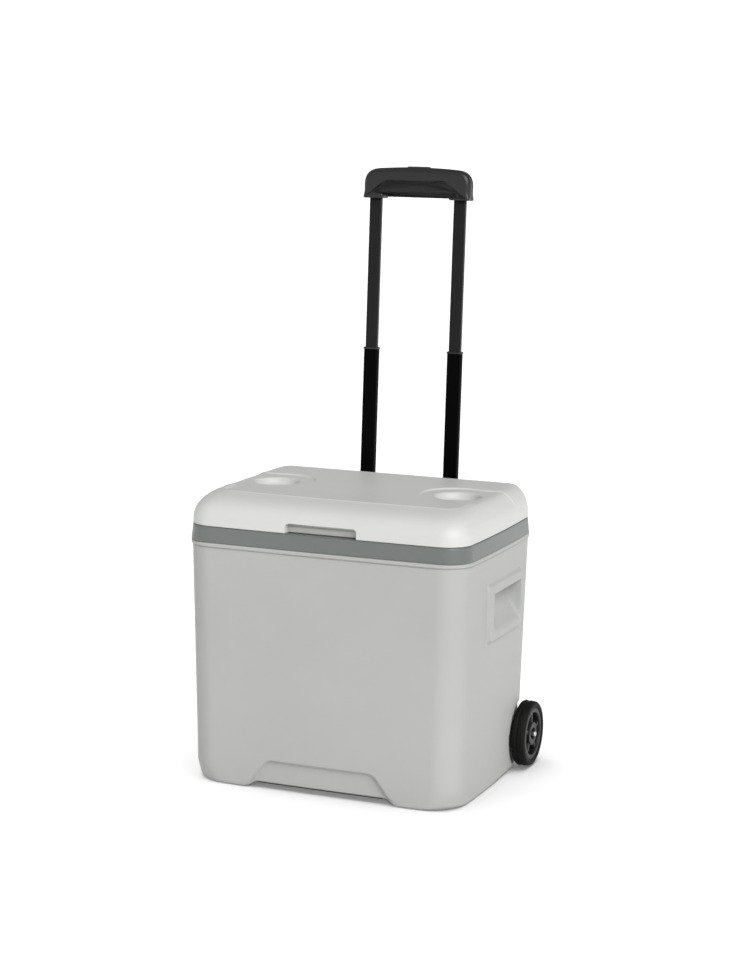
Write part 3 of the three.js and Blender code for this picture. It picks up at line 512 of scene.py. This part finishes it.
def build_lid():
    side = np.unique(np.concatenate([spaced(-110, -60, 6), spaced(-60, -42, 1.5), spaced(-42, 62, 7), spaced(62, 80, 1.5), spaced(80, 110, 5)]).round(3))
    front = np.unique(np.concatenate([spaced(-1, -0.34, 0.025), spaced(-0.34, -0.285, 0.0035), spaced(-0.285, 0.285, 0.02), spaced(0.285, 0.34, 0.0035), spaced(0.34, 1, 0.025)]).round(4))
    cols = Columns(front=front, fc=20, side_abs=side, rc=16, rear=spaced(-1, 1, 0.03), lead=1, trail=1)
    # the side list has to stay inside the straight part of every ring
    ts = np.unique(np.concatenate([np.linspace(0, LT[1], 5), np.linspace(LT[1], LT[2] * 1.0, 12), LT[2] + (LT[3] - LT[2]) * np.array([0.1, 0.16, 0.2, 0.225, 0.25, 0.275, 0.3, 0.36, 0.5, 0.75]),
                                   np.linspace(LT[3], 1, 40)]).round(5))
    z, xh, yf, yr, rf, rr = lid_rows(ts)
    a = []
    for i in range(len(ts)):
        y0, y1 = -yf[i] + rf[i], yr[i] - rr[i]
        c = Columns(front=front, fc=20, side_abs=np.interp(side, [-110, -66, 96, 110], [max(y0 + 2, -118.0), max(y0 + 3, -66) if y0 > -69 else -66, 96, min(y1 - 2, 124.0)]), rc=16, rear=spaced(-1, 1, 0.03), lead=1, trail=1)
        a.append(c.points(xh[i], yf[i], yr[i], rf[i], rr[i], BOW_F, BOW_S))
    X = np.vstack([p[0] for p in a]); Y = np.vstack([p[1] for p in a]); Z = np.repeat(z[:, None], X.shape[1], 1)
    P = np.stack([X, Y, Z], -1)
    du = np.roll(P, -1, 1) - np.roll(P, 1, 1)
    dv = np.gradient(P, axis=0)
    Nn = np.cross(du, dv); Nn /= np.maximum(np.linalg.norm(Nn, axis=-1, keepdims=True), 1e-9)
    fade = sstep(409, 434, Z)
    D = lid_recess(X, Y) * fade
    Q = P - Nn * D[..., None]
    # front notch: a finger recess that breaks the lid's lower edge
    inside = smin(57 - np.abs(X), 410.5 - Z, 8.0)
    w = sstep(-0.1, 1.5, inside) * (Y < -100)
    Q[..., 1] += (13 + 5 * sstep(403, 408, Z)) * w
    rings = [Q[i] for i in range(len(ts))]
    # bottom rim and inner face
    def inner(zt, o):
        r = lid_rows(np.array([LT[1]]))
        q = Columns(front=front, fc=20, side_abs=side, rc=16, rear=spaced(-1, 1, 0.03), lead=1, trail=1).points(r[1] - o, r[2] - o, r[3] - o, r[4] - o, r[5] - o, BOW_F, BOW_S)
        p = np.stack([q[0][0], q[1][0], np.full(q[0].shape[1], zt)], -1)
        w2 = sstep(-0.1, 1.5, 57 - np.abs(p[:, 0])) * (p[:, 1] < -100)
        p[:, 1] += 13 * w2
        return p
    rings = [inner(412, 3.0), inner(396.0, 3.0), inner(395.4, 2.6)] + rings
    v, f = grid(rings)
    # top: points along the features' edges and a background grid, joined by a Delaunay net
    edge = P[-1][:, :2]
    pts = []

    def sd_field(px, py):
        return lid_rows_sd(px, py)

    xe, ye, re_f, re_r = xh[-1], yf[-1], rf[-1], rr[-1]

    def lid_rows_sd(px, py):
        yh = np.where(py < 0, yf[-1] + BOW_F * (1 - np.minimum(1, np.abs(px) / (xe - re_f)) ** 2), yr[-1])
        rad = np.where(py < 0, re_f, re_r)
        m = np.clip((py + yf[-1] - re_f) / (yr[-1] - re_r + yf[-1] - re_f), 0, 1)
        xx = xe + BOW_S * 4 * m * (1 - m)
        qx, qy = np.abs(px) - (xx - rad), np.abs(py) - (yh - rad)
        return np.minimum(np.maximum(qx, qy), 0) + np.hypot(np.maximum(qx, 0), np.maximum(qy, 0)) - rad

    for sx in (1, -1):
        for r in (6, 12, 18, 22, 24, 25.5, 27, 28.3, 29.6, 30.6, 31.6, 32.5, 33.4, 34.3, 35.2, 36.3, 37.4, 38.7, 40, 43, 47, 51, 54.6):
            k = max(10, int(2 * math.pi * r / (2.2 if r > 24 else 3.5)))
            t = np.arange(k) * 2 * math.pi / k
            pts.append(np.c_[sx * (CUP_X + r * np.cos(t)), CUP_Y + r * np.sin(t)])
        pts.append(np.array([[sx * CUP_X, CUP_Y]]))
        for r in (57.2, 58, 58.8, 59.6, 60.4, 61.4, 62.4, 63.6):
            t = np.arange(0, 2 * math.pi, 1.8 / r)
            pts.append(np.c_[sx * (CUP_X + r * np.cos(t)), CUP_Y + 2 + r * np.sin(t)])
        for off in (-2.2, -1.2, -0.3, 0.6, 1.4, 2.2, 3.2, 4.4):
            xx = np.arange(150, 189, 1.8)
            pts.append(np.c_[sx * xx, np.full(len(xx), 72 + off)])
            pts.append(np.c_[sx * xx, np.full(len(xx), -50 - off)])
    cur = np.vstack(pts)
    gx, gy = np.meshgrid(np.arange(-190, 190.1, 3.4), np.arange(-110, 144, 3.4))
    gx = gx + (np.arange(gx.shape[0]) % 2)[:, None] * 1.7
    bg = np.c_[gx.ravel(), gy.ravel()]
    keep = np.ones(len(bg), bool)
    for sx in (1, -1):
        keep &= np.hypot(bg[:, 0] - sx * CUP_X, bg[:, 1] - CUP_Y) > 57
    # drop background points close to the feature points
    cell = {}
    for p in cur:
        cell.setdefault((int(p[0] // 2), int(p[1] // 2)), []).append(p)
    def near(p, lim=1.7):
        i, j = int(p[0] // 2), int(p[1] // 2)
        for di in (-1, 0, 1):
            for dj in (-1, 0, 1):
                for q in cell.get((i + di, j + dj), ()):
                    if (p[0] - q[0]) ** 2 + (p[1] - q[1]) ** 2 < lim * lim:
                        return True
        return False
    keep &= np.array([not near(p) for p in bg])
    allp = np.vstack([cur, bg[keep]])
    allp = allp[lid_rows_sd(allp[:, 0], allp[:, 1]) < -0.9]
    # thin out feature points that fall on each other
    seen, uniq = {}, []
    for p in allp:
        i, j = int(p[0] // 0.6), int(p[1] // 0.6)
        if any((p[0] - q[0]) ** 2 + (p[1] - q[1]) ** 2 < 0.3 for di in (-1, 0, 1) for dj in (-1, 0, 1) for q in seen.get((i + di, j + dj), ())):
            continue
        seen.setdefault((i, j), []).append(p)
        uniq.append(p)
    uniq = np.array(uniq)
    both = np.vstack([edge, uniq])
    ne = len(edge)
    loop = [(i, (i + 1) % ne) for i in range(ne)]
    res = delaunay_2d_cdt([Vector(p) for p in both], loop, [list(range(ne))], 1, 1e-5, True)
    co2 = np.array([[p.x, p.y] for p in res[0]])
    orig = res[3]
    zt = 443.2 - lid_recess(co2[:, 0], co2[:, 1]) - lid_cup(co2[:, 0], co2[:, 1])
    top = np.c_[co2, zt]
    for i, o in enumerate(orig):  # boundary points take the skirt's own place
        for k in o:
            if k < ne:
                top[i] = Q[-1][k]
    parts = [(v, f), (top, [tuple(t) for t in res[2]])]
    # hinge knuckles
    for s in (1, -1):
        prof = [(HY + HR * math.cos(a), HZ + HR * math.sin(a)) for a in np.linspace(-math.pi / 2, math.pi / 2, 25)]
        prof += [(156.2, HZ + 5.5), (156.2, HZ - 12), (158.6, HZ - 12), (160.5, HZ - 9.5)]
        pr = np.array(prof)
        cen = pr.mean(0)
        rr2 = []
        for dx, k in ((-9.5, 0.93), (-9.3, 0.965), (-8.8, 0.99), (-8.2, 1.0), (8.2, 1.0), (8.8, 0.99), (9.3, 0.965), (9.5, 0.93)):
            q = cen + (pr - cen) * k
            rr2.append(np.c_[np.full(len(q), s * 150 + dx), q])
        parts.append(grid(rr2, cap0=True, cap1=True))
    return place(build("lid_top", parts, "lid_plastic", 50), "lid", "lid_plastic", "lid_shell")


def build_lid_inside():
    edge = lambda z, o: (z, 222.6 - 3.3 + o, 158.6 - 3.3 + o, 158.6 - 3.3 + o, 36 + o, 29 + o, BOW_F, BOW_S)
    plug = lambda z, o: (z, 186.4 + o, 126.4 + o, 126.4 + o, max(25 + o, 9), max(25 + o, 9), 0, 0)
    rows = [edge(401.0, -1.4), edge(400.6, -1.0), edge(398.9, -1.0), edge(398.5, -1.4)]
    rows += [mix_rows(edge(398.5, -1.4), plug(398.5, 3.0), t) for t in (0.3, 0.7, 0.98)]
    rows += [plug(398.2, 1.6), plug(397.4, 0.6), plug(396.0, 0.1), plug(392, 0), plug(386, -0.2)]
    R = 4.4
    for a in np.linspace(0, math.pi / 2, 7):
        rows.append(plug(381 + R - R * math.sin(a), -0.2 - R * (1 - math.cos(a))))
    # raised field in the middle of the inner face with a soft step round it
    rows += [plug(381.0, -14), plug(381.05, -17), plug(381.5, -18.6), plug(382.2, -20), plug(382.5, -22), plug(382.5, -26)]
    g = ring_rows(SIMPLE, rows)
    for p in g[:7]:  # the front notch passes through the plate
        w = sstep(-0.5, 3.0, 60.5 - np.abs(p[:, 0])) * (p[:, 1] < -130)
        p[:, 1] = p[:, 1] + (np.maximum(p[:, 1], -144.2) - p[:, 1]) * w
    last, first = g[-1], g[0]
    g += fill_inward(last[:, 0], last[:, 1], 382.5, (0.7, 0.4, 0.1), None)
    g = fill_inward(first[:, 0], first[:, 1], 401.0, (0.1, 0.6, 0.93), None) + g
    place(build("lid_inner_panel", [grid(g, cap0=True, cap1=True)], "liner_plastic", 50), "lid", "liner_plastic", "lid_liner")
    seal = lambda z, o: (z, 200 + o, 140 + o, 140 + o, 32 + o, 30 + o, 0, 0)
    rows = []
    for a in np.linspace(0, 2 * math.pi, 20, endpoint=False):
        ca, sa = math.cos(a), math.sin(a)
        rows.append(seal(396.75 + (1.45 if sa > 0 else 1.6) * (abs(sa) ** 0.8) * np.sign(sa), 3.9 * np.sign(ca) * abs(ca) ** 0.7))
    place(build("lid_gasket", [grid(ring_rows(SIMPLE, rows), closed_rows=True)], "seal_rubber", 60), "lid", "seal_rubber", "lid_seal")


# ------------------------------------------------------------------ pull handle
HX, Y0, TILT = 70.8, 176.72, math.atan(0.042)
CT, ST = math.cos(TILT), math.sin(TILT)


def lean(p):
    """Handle frame (x across, v rearward, w along the tubes) to the tub's frame."""
    p = np.asarray(p, float)
    return np.stack([p[..., 0], Y0 + p[..., 1] * CT + p[..., 2] * ST, p[..., 2] * CT - p[..., 1] * ST], -1)


def alongz(z):
    return z / CT


def rounded_rect(hx, hy, r, n=7, nx=10, ny=6, flute=0.0, fx=4.2, fw=1.5):
    """Counterclockwise rounded rectangle; flute presses two shallow grooves into the wide faces."""
    pts = []
    for sx, sy, t0 in ((1, 1, 0), (-1, 1, 1), (-1, -1, 2), (1, -1, 3)):
        for i in range(n + 1):
            t = (t0 + i / n) * math.pi / 2
            pts.append((sx * (hx - r) + r * math.cos(t), sy * (hy - r) + r * math.sin(t)))
        if t0 in (0, 2) and flute:
            for u in np.linspace(-1, 1, 31)[1:-1]:
                pts.append((-sx * u * (hx - r) if t0 == 0 else u * (hx - r), sy * hy))
    p = np.array(pts)
    if flute:
        flat = np.abs(np.abs(p[:, 1]) - hy) < 1e-6
        d = flute * np.maximum(np.exp(-((np.abs(p[:, 0]) - fx) / fw) ** 4), 0)
        p[:, 1] = np.where(flat, np.sign(p[:, 1]) * (hy - d), p[:, 1])
    return p


def tube_mesh(z0, z1, w, d, r, t, cx, flute=0.0, fx=4.2, fw=1.5):
    o = lambda k: rounded_rect(w / 2 - k, d / 2 - k, max(r - k, 0.5), flute=flute, fx=fx, fw=fw)
    a, b = alongz(z0), alongz(z1)
    rows = [(a, 0.3), (a + 0.35, 0.0)] + [(a + (b - a) * k, 0.0) for k in (0.1, 0.3, 0.5, 0.7, 0.9)] + [(b - 0.35, 0.0), (b, 0.3), (b, t - 0.2), (b - 0.6, t), (a + 0.6, t), (a, t - 0.2)]
    rings = []
    for wz, k in rows:
        q = o(k)
        rings.append(lean(np.c_[q[:, 0] + cx, q[:, 1], np.full(len(q), wz)]))
    return grid(rings, closed_rows=True)


def build_handle():
    for s, k in ((-1, "L"), (1, "R")):
        place(build(f"lower_tube_{k}", [tube_mesh(322, 632.5, 23, 13, 2.6, 1.2, s * HX, flute=0.45, fx=5.2, fw=1.6)], "outer_tube", 50), "middle_stage", "black_tube", f"middle_tube_{k}")
        place(build(f"upper_tube_{k}", [tube_mesh(557, 886, 19.4, 9.8, 2.2, 1.2, s * HX, flute=0.6, fx=4.1, fw=1.5)], "black_tube", 50), "inner_stage", "black_tube", f"inner_tube_{k}")
        rows = [(632.8, 0.0), (633.1, 0.25), (634.6, 0.25), (635.5, -0.05), (635.9, -0.5), (636.0, -0.9)]
        rings = []
        for z, o in rows:
            q = rounded_rect(12.0 + o, 7.0 + o, 2.8 + min(o, 0))
            rings.append(lean(np.c_[q[:, 0] + s * HX, q[:, 1], np.full(len(q), alongz(z))]))
        for z in (636.0, 632.8):
            q = rounded_rect(10.1, 5.3, 2.2)
            rings.append(lean(np.c_[q[:, 0] + s * HX, q[:, 1], np.full(len(q), alongz(z))]))
        place(build(f"tube_mouthpiece_{k}", [grid(rings, closed_rows=True)], "black_plastic", 50), "middle_stage", "black_plastic", f"middle_collar_{k}")


def bez(p0, p1, p2, p3, n):
    t = np.linspace(0, 1, n, endpoint=False)[:, None]
    p0, p1, p2, p3 = map(np.array, (p0, p1, p2, p3))
    return (1 - t) ** 3 * p0 + 3 * (1 - t) ** 2 * t * p1 + 3 * (1 - t) * t ** 2 * p2 + t ** 3 * p3


def quad(p0, p1, p2, n):
    p0, p1, p2 = map(lambda q: np.array(q, float), (p0, p1, p2))
    return bez(p0, p0 + (p1 - p0) * 2 / 3, p2 + (p1 - p2) * 2 / 3, p2, n)


def seg(p0, p1, n):
    t = np.linspace(0, 1, n, endpoint=False)[:, None]
    return np.array(p0) + (np.array(p1) - np.array(p0)) * t


def grip_outline():
    X, S, z0, un, top = 89.3, 54.5, 872.0, 893.0, 921.5
    c = [
        seg((-X + 3, z0), (-S - 4, z0), 8), quad((-S - 4, z0), (-S - 0.6, z0), (-S - 0.4, z0 + 3.4), 5),
        seg((-S - 0.4, z0 + 3.4), (-S, un - 11), 6), bez((-S, un - 11), (-S, un - 2.5), (-S + 4, un), (-S + 12, un - 0.2), 10),
        bez((-S + 12, un - 0.2), (-20, un - 1.2), (20, un - 1.2), (S - 12, un - 0.2), 30),
        bez((S - 12, un - 0.2), (S - 4, un), (S, un - 2.5), (S, un - 11), 10), seg((S, un - 11), (S + 0.4, z0 + 3.4), 6),
        quad((S + 0.4, z0 + 3.4), (S + 0.6, z0), (S + 4, z0), 5), seg((S + 4, z0), (X - 3, z0), 8),
        quad((X - 3, z0), (X - 0.4, z0), (X - 0.4, z0 + 3), 5), seg((X - 0.4, z0 + 3), (X, un), 6),
        bez((X, un), (X, top - 10), (X - 10, top - 3.6), (X - 24, top - 2.4), 22),
        quad((X - 24, top - 2.4), (0, top + 2.9), (-X + 24, top - 2.4), 40),
        bez((-X + 24, top - 2.4), (-X + 10, top - 3.6), (-X, top - 10), (-X, un), 22),
        seg((-X, un), (-X + 0.4, z0 + 3), 6), quad((-X + 0.4, z0 + 3), (-X + 0.4, z0), (-X + 3, z0), 5),
    ]
    return np.vstack(c)


def grip_half(name, front, body_slot):
    out = grip_outline()
    n = len(out)
    tan = np.roll(out, -1, 0) - np.roll(out, 1, 0)
    # smooth the normals so the inset stays clean round the corners
    nr = np.c_[tan[:, 1], -tan[:, 0]]
    for _ in range(3):
        nr = nr / np.linalg.norm(nr, axis=1, keepdims=True)
        nr = 0.5 * nr + 0.25 * (np.roll(nr, 1, 0) + np.roll(nr, -1, 0))
    nr = nr / np.linalg.norm(nr, axis=1, keepdims=True)
    # lower rims of the sockets stay square, the rest of the section is full and round
    soft = sstep(872.5, 884, out[:, 1])
    DH = 13.0
    rings = []
    sign = -1 if front else 1
    v0 = 0.15
    steps = [(v0, 0.55), (v0 + 0.15, 0.15), (v0 + 0.5, 0.0)]
    R = 8.6
    for a in np.linspace(0, math.pi / 2, 13):
        steps.append((DH - R + R * math.sin(a), R * (1 - math.cos(a))))
    for i, (v, k) in enumerate(steps):
        if i < 3:
            ins = np.full(n, k)
            vv = np.full(n, v)
        else:
            frac = k / R
            Rl = 2.6 + (R - 2.6) * soft  # local edge radius
            aa = math.acos(max(-1, 1 - frac))
            ins = Rl * (1 - math.cos(aa))
            vv = DH - Rl + Rl * math.sin(aa)
        p = out - nr * ins[:, None]
        rings.append(lean(np.c_[p[:, 0], sign * vv, p[:, 1] / CT]))
    return build(name, [grid(rings, cap0=True, cap1=True)], body_slot, 42)


def bar_cutter(name, cx, hx, hy, r, w0, w1):
    q = rounded_rect(hx, hy, r)
    rings = [lean(np.c_[q[:, 0] + cx, q[:, 1], np.full(len(q), w)]) for w in (w0, w1)]
    return build(name, [grid(rings, cap0=True, cap1=True)], "black_plastic")


def round_cutter(name, cx, cz, stations, n=28):
    rings = []
    for v, r in stations:
        a = np.arange(n) * 2 * math.pi / n
        rings.append(lean(np.c_[cx + r * np.cos(a), np.full(n, v), cz / CT + r * np.sin(a)]))
    return build(name, [grid(rings, cap0=True, cap1=True)], "black_plastic")


def build_grip():
    for name, node, front in (("grip_front_shell", "grip_front", True), ("grip_rear_shell", "grip_rear", False)):
        ob = grip_half(name, front, "black_plastic")
        cut = [bar_cutter("c1", HX, 10.0, 5.2, 2.3, alongz(860), alongz(886.6)), bar_cutter("c2", -HX, 10.0, 5.2, 2.3, alongz(860), alongz(886.6)),
               bar_cutter("c3", 0, 19.4, 4.7, 3.4, alongz(908.2), alongz(940))]
        if front:
            cut += [round_cutter("c4", HX, 880, [(-20, 3.5), (-10.8, 3.5)]), round_cutter("c5", -HX, 880, [(-20, 3.5), (-10.8, 3.5)])]
        boolean(ob, cut)
        finish_mesh(ob.data, 42)
        place(ob, "inner_stage", "black_plastic", node)
    # push button, crowned with soft edges
    rows = [(912, -0.3), (912.3, 0.0), (921.2, 0.0), (922.0, -0.2), (922.5, -0.7), (922.8, -1.4), (922.95, -2.2)]
    rings = []
    for z, o in rows:
        q = rounded_rect(19 + o, 4.3 + o, 3 + o)
        rings.append(lean(np.c_[q[:, 0], q[:, 1], np.full(len(q), alongz(z))]))
    last = rounded_rect(19 - 2.2, 4.3 - 2.2, 0.8)
    for k in (0.7, 0.35):
        q = last * k
        rings.append(lean(np.c_[q[:, 0], q[:, 1], alongz(922.95 + 0.1 * (1 - k)) + 0 * q[:, 0]]))
    place(build("release_button", [grid(rings, cap0=True, cap1=True)], "button_plastic", 42), "button", "button_plastic", "push_button")
    # cross-slotted screws
    for s, k in ((-1, "L"), (1, "R")):
        rings = []
        n = 40
        a = np.arange(n) * 2 * math.pi / n
        for v, r in ((9.2, 1.0), (8.8, 1.6), (-11.1, 1.6), (-11.12, 3.2), (-12.0, 3.2), (-12.35, 2.95), (-12.55, 2.5), (-12.6, 2.1)):
            rings.append(lean(np.c_[s * HX + r * np.cos(a), np.full(n, v), 880 / CT + r * np.sin(a)]))
        for r, dep in ((1.75, 0.0), (1.55, 0.25), (1.3, 0.7), (0.9, 1.0), (0.4, 1.1)):
            cross = np.exp(-((np.abs(np.sin(2 * a)) * r) / 0.75) ** 2)
            rings.append(lean(np.c_[s * HX + r * np.cos(a), -12.6 + dep * cross, 880 / CT + r * np.sin(a)]))
        place(build(f"grip_screw_head_{k}", [grid(rings, cap0=True, cap1=True)], "screw_steel", 40), "inner_stage", "screw_steel", f"grip_screw_{k}")


# ------------------------------------------------------------------ wheels
def lathe(prof, s, n=72, bump=None):
    """Ring about the wheel axis from a closed (x, radius) profile."""
    a = np.arange(n) * 2 * math.pi / n
    rings = []
    for x, r in prof:
        rad = np.full(n, r)
        if bump is not None:
            rad = bump(x, r, a)
        rings.append(np.c_[np.full(n, s * x), WY + rad * np.cos(a), WZ + rad * np.sin(a)])
    return grid(rings, closed_rows=True)


def nub(x, ang, s, r=1.5, h=0.55, base=50.85):
    """Small moulded pip standing on the tread."""
    rings = []
    for rr, hh in ((r * 1.15, -0.35), (r, 0.0), (r * 0.92, h * 0.7), (r * 0.7, h), (r * 0.3, h)):
        b = np.arange(10) * 2 * math.pi / 10
        u, v = rr * np.cos(b), rr * np.sin(b)
        al = ang + v / base
        rad = base + hh
        rings.append(np.c_[s * (x + u), WY + rad * np.cos(al), WZ + rad * np.sin(al)])
    return grid(rings, cap0=True, cap1=True)


def build_wheels():
    for s, k in ((-1, "L"), (1, "R")):
        body = "wheel_left" if s < 0 else "wheel_right"
        prof = [(218.2, 40.6), (218.2, 46.8), (218.4, 47.9), (218.8, 49.0), (219.4, 49.9), (220.1, 50.45), (221.0, 50.75), (222, 50.85), (224.6, 50.87), (225.0, 50.2), (225.6, 50.0), (228.4, 50.0), (229.0, 50.2), (229.4, 50.87),
                (232, 50.85), (234.4, 50.75), (236.4, 50.45), (238.0, 49.9), (239.1, 49.0), (239.75, 47.9), (240.0, 46.6), (240.0, 43.4), (239.3, 42.6), (238.9, 40.6)]
        parts = [lathe(prof, s, 96)]
        for i in range(16):
            a0 = 2 * math.pi * i / 16
            parts.append(nub(221.8, a0 + 0.1, s)); parts.append(nub(233.4, a0 + 0.1 + math.pi / 16, s))
        place(build(f"tyre_tread_{k}", parts, "tyre", 46), body, "tyre", f"tyre_{k}")
        # moulded hub: rim, recessed web, five spokes, centre boss with a recessed pin
        rim = lathe([(216.6, 34.5), (216.6, 40.3), (238.0, 40.4), (238.6, 39.9), (238.8, 39.0), (238.8, 34.8), (238.5, 34.0), (237.8, 33.5), (236, 33.2), (225, 32.6), (221, 33.0)], s, 96)
        boss = lathe([(211.5, 4.07), (211.5, 8.5), (216, 12), (221, 17.5), (225, 18.6), (236.6, 18.2), (238.0, 17.9), (238.5, 17.2), (238.6, 16.4), (238.6, 10.2), (238.3, 9.6), (237.6, 9.3), (233.2, 9.0), (232.6, 8.4), (232.6, 4.07)], s, 64)
        web = lathe([(221, 16), (221, 34), (224.6, 34), (225, 33.4), (225, 18), (224.6, 16.5)], s, 72)
        parts = [rim, boss, web]
        for i in range(5):
            a = math.pi / 2 + 2 * math.pi * i / 5
            c, sn = math.cos(a), math.sin(a)
            rings = []
            for x, g in ((224.4, 1.06), (230, 1.0), (235.6, 0.94), (236.3, 0.86), (236.6, 0.7)):
                base = [(17, -3.6 * g), (25, -3.0 * g), (34, -3.6 * g), (34, 3.6 * g), (25, 3.0 * g), (17, 3.6 * g)]
                rings.append(np.array([[s * x, WY + u * c - v * sn, WZ + u * sn + v * c] for u, v in base]))
            parts.append(grid(rings, cap0=True, cap1=True))
        place(build(f"wheel_centre_{k}", parts, "hub_plastic", 38), body, "hub_plastic", f"wheel_hub_{k}")
        cap = lathe([(240.7, 3.3), (240.7, 4.3), (241.3, 4.35), (242.3, 4.1), (243.0, 3.5), (243.4, 2.4), (243.55, 1.2), (243.6, 0.35), (241.2, 0.35), (241.0, 3.2)], s, 40)
        place(build(f"axle_pin_cap_{k}", [cap], "steel", 50), "tub", "steel", f"axle_cap_{k}")


# ------------------------------------------------------------------ carried-over CAD nodes
def dress_cad():
    slots = {p["node"]: p["material_slot"] for p in frame["record"]["subparts"]}
    for n, o in frame["nodes"].items():
        if o.hide_render:
            continue
        mat = MATS.get(slots.get(n), MATS["black_plastic"])
        if not o.data.materials:
            o.data.materials.append(mat)
        for i in range(len(o.data.materials)):
            o.data.materials[i] = mat
        for sl in o.material_slots:
            sl.material = mat
        w = o.modifiers.new("weld", "WELD"); w.merge_threshold = 1e-5
        if n.startswith(("guide_bracket", "base_bracket", "hinge_bracket")):
            b = o.modifiers.new("edges", "BEVEL")
            b.width, b.segments, b.limit_method, b.angle_limit = 0.0007, 3, "ANGLE", math.radians(35)
            b.harden_normals = True
    return slots


build_tub()
build_collar()
build_liner()
build_lid()
build_lid_inside()
build_handle()
build_grip()
build_wheels()
SLOTS = dress_cad()


# ------------------------------------------------------------------ floor, light, camera
def floor_and_light():
    bm = bmesh.new()
    bmesh.ops.create_grid(bm, x_segments=24, y_segments=24, size=200.0)
    me = bpy.data.meshes.new("studio_floor")
    bm.to_mesh(me); bm.free()
    fl = bpy.data.objects.new("studio_floor", me)
    bpy.context.scene.collection.objects.link(fl)
    fl.location.z = -0.0004
    m = bpy.data.materials.new("studio_floor")
    m.use_nodes = True
    nt = m.node_tree
    nt.nodes.clear()
    N, L = nt.nodes.new, nt.links.new
    out, mix, dif, emi = N("ShaderNodeOutputMaterial"), N("ShaderNodeAddShader"), N("ShaderNodeBsdfDiffuse"), N("ShaderNodeEmission")
    co, no, rp = N("ShaderNodeTexCoord"), N("ShaderNodeTexNoise"), N("ShaderNodeMapRange")
    socket(no, "Scale", 2.0)
    for k, v in (("To Min", 0.90), ("To Max", 0.92)):
        socket(rp, k, v)
    L(co.outputs["Object"], no.inputs["Vector"]); L(no.outputs["Fac"], rp.inputs["Value"]); L(rp.outputs[0], dif.inputs["Color"])
    emi.inputs["Color"].default_value = (1, 1, 1, 1)
    emi.inputs["Strength"].default_value = FLOOR_GLOW
    L(dif.outputs[0], mix.inputs[0]); L(emi.outputs[0], mix.inputs[1]); L(mix.outputs[0], out.inputs[0])
    me.materials.append(m)
    # sky: bright round the horizon, dimmer overhead
    w = bpy.data.worlds.new("studio")
    bpy.context.scene.world = w
    w.use_nodes = True
    nt = w.node_tree
    nt.nodes.clear()
    N, L = nt.nodes.new, nt.links.new
    out, bg, co, sep, rp = N("ShaderNodeOutputWorld"), N("ShaderNodeBackground"), N("ShaderNodeTexCoord"), N("ShaderNodeSeparateXYZ"), N("ShaderNodeValToRGB")
    L(co.outputs["Generated"], sep.inputs[0]); L(sep.outputs["Z"], rp.inputs["Fac"])
    el = rp.color_ramp.elements
    el[0].position, el[0].color = 0.05, (1.0, 1.0, 1.0, 1)
    el[1].position, el[1].color = 0.60, (SKY_TOP, SKY_TOP, SKY_TOP, 1)
    mid = el.new(0.20)
    mid.color = (0.44, 0.44, 0.44, 1)
    L(rp.outputs["Color"], bg.inputs["Color"])
    bg.inputs["Strength"].default_value = SKY
    L(bg.outputs[0], out.inputs[0])

    # the key leaves the floor out and a soft overhead lamp lights only the floor, so the ground shadow stays under the cooler
    without_floor, only_floor = bpy.data.collections.new("key_receivers"), bpy.data.collections.new("overhead_receivers")
    without_floor.objects.link(fl)
    only_floor.objects.link(fl)
    without_floor.collection_objects[0].light_linking.link_state = "EXCLUDE"
    only_floor.collection_objects[0].light_linking.link_state = "INCLUDE"
    receivers = {"key": without_floor, "overhead": only_floor}
    for name, to_light, angle, strength in LIGHTS:
        d = bpy.data.lights.new(name, "SUN")
        d.energy, d.angle = strength, math.radians(angle)
        o = bpy.data.objects.new(name, d)
        bpy.context.scene.collection.objects.link(o)
        o.rotation_euler = Vector(to_light).to_track_quat("Z", "Y").to_euler()
        if name in receivers:
            o.light_linking.receiver_collection = receivers[name]


SKY, SKY_TOP, FLOOR_GLOW = 1.02, 0.275, 0.12
LIGHTS = [("key", (0.620, -0.521, 0.588), 40, 3.2), ("fill", (-0.6, -0.5, 0.62), 90, 0.5), ("overhead", (0.0, 0.0, 1.0), 60, 2.5)]
floor_and_light()


def camera():
    f, az, el, ro = 2290.56644, math.radians(22.2023892), math.radians(9.71107258), math.radians(0.868814355)
    tx, ty, dist = 10.6595177, 187.544202, 3515.96264
    back = Vector((math.sin(az) * math.cos(el), -math.cos(az) * math.cos(el), math.sin(el)))
    right = Vector((math.cos(az), math.sin(az), 0))
    up = back.cross(right)
    r2 = math.cos(ro) * right + math.sin(ro) * up
    u2 = -math.sin(ro) * right + math.cos(ro) * up
    c = Vector((0, 0, 250)) + back * dist + r2 * tx + u2 * ty
    loc = Vector(row([c.x, c.y, c.z]).tolist())
    d = bpy.data.cameras.new("camera")
    d.sensor_width, d.sensor_fit, d.lens = 36.0, "AUTO", f * 36 / 980
    d.clip_start, d.clip_end = 0.05, 600
    o = bpy.data.objects.new("camera", d)
    m = Matrix.Identity(4)
    for i in range(3):
        m[i][0], m[i][1], m[i][2], m[i][3] = r2[i], u2[i], back[i], loc[i]
    o.matrix_world = m
    bpy.context.scene.collection.objects.link(o)
    bpy.context.scene.camera = o


camera()
bpy.context.scene.view_settings.view_transform = "Standard"
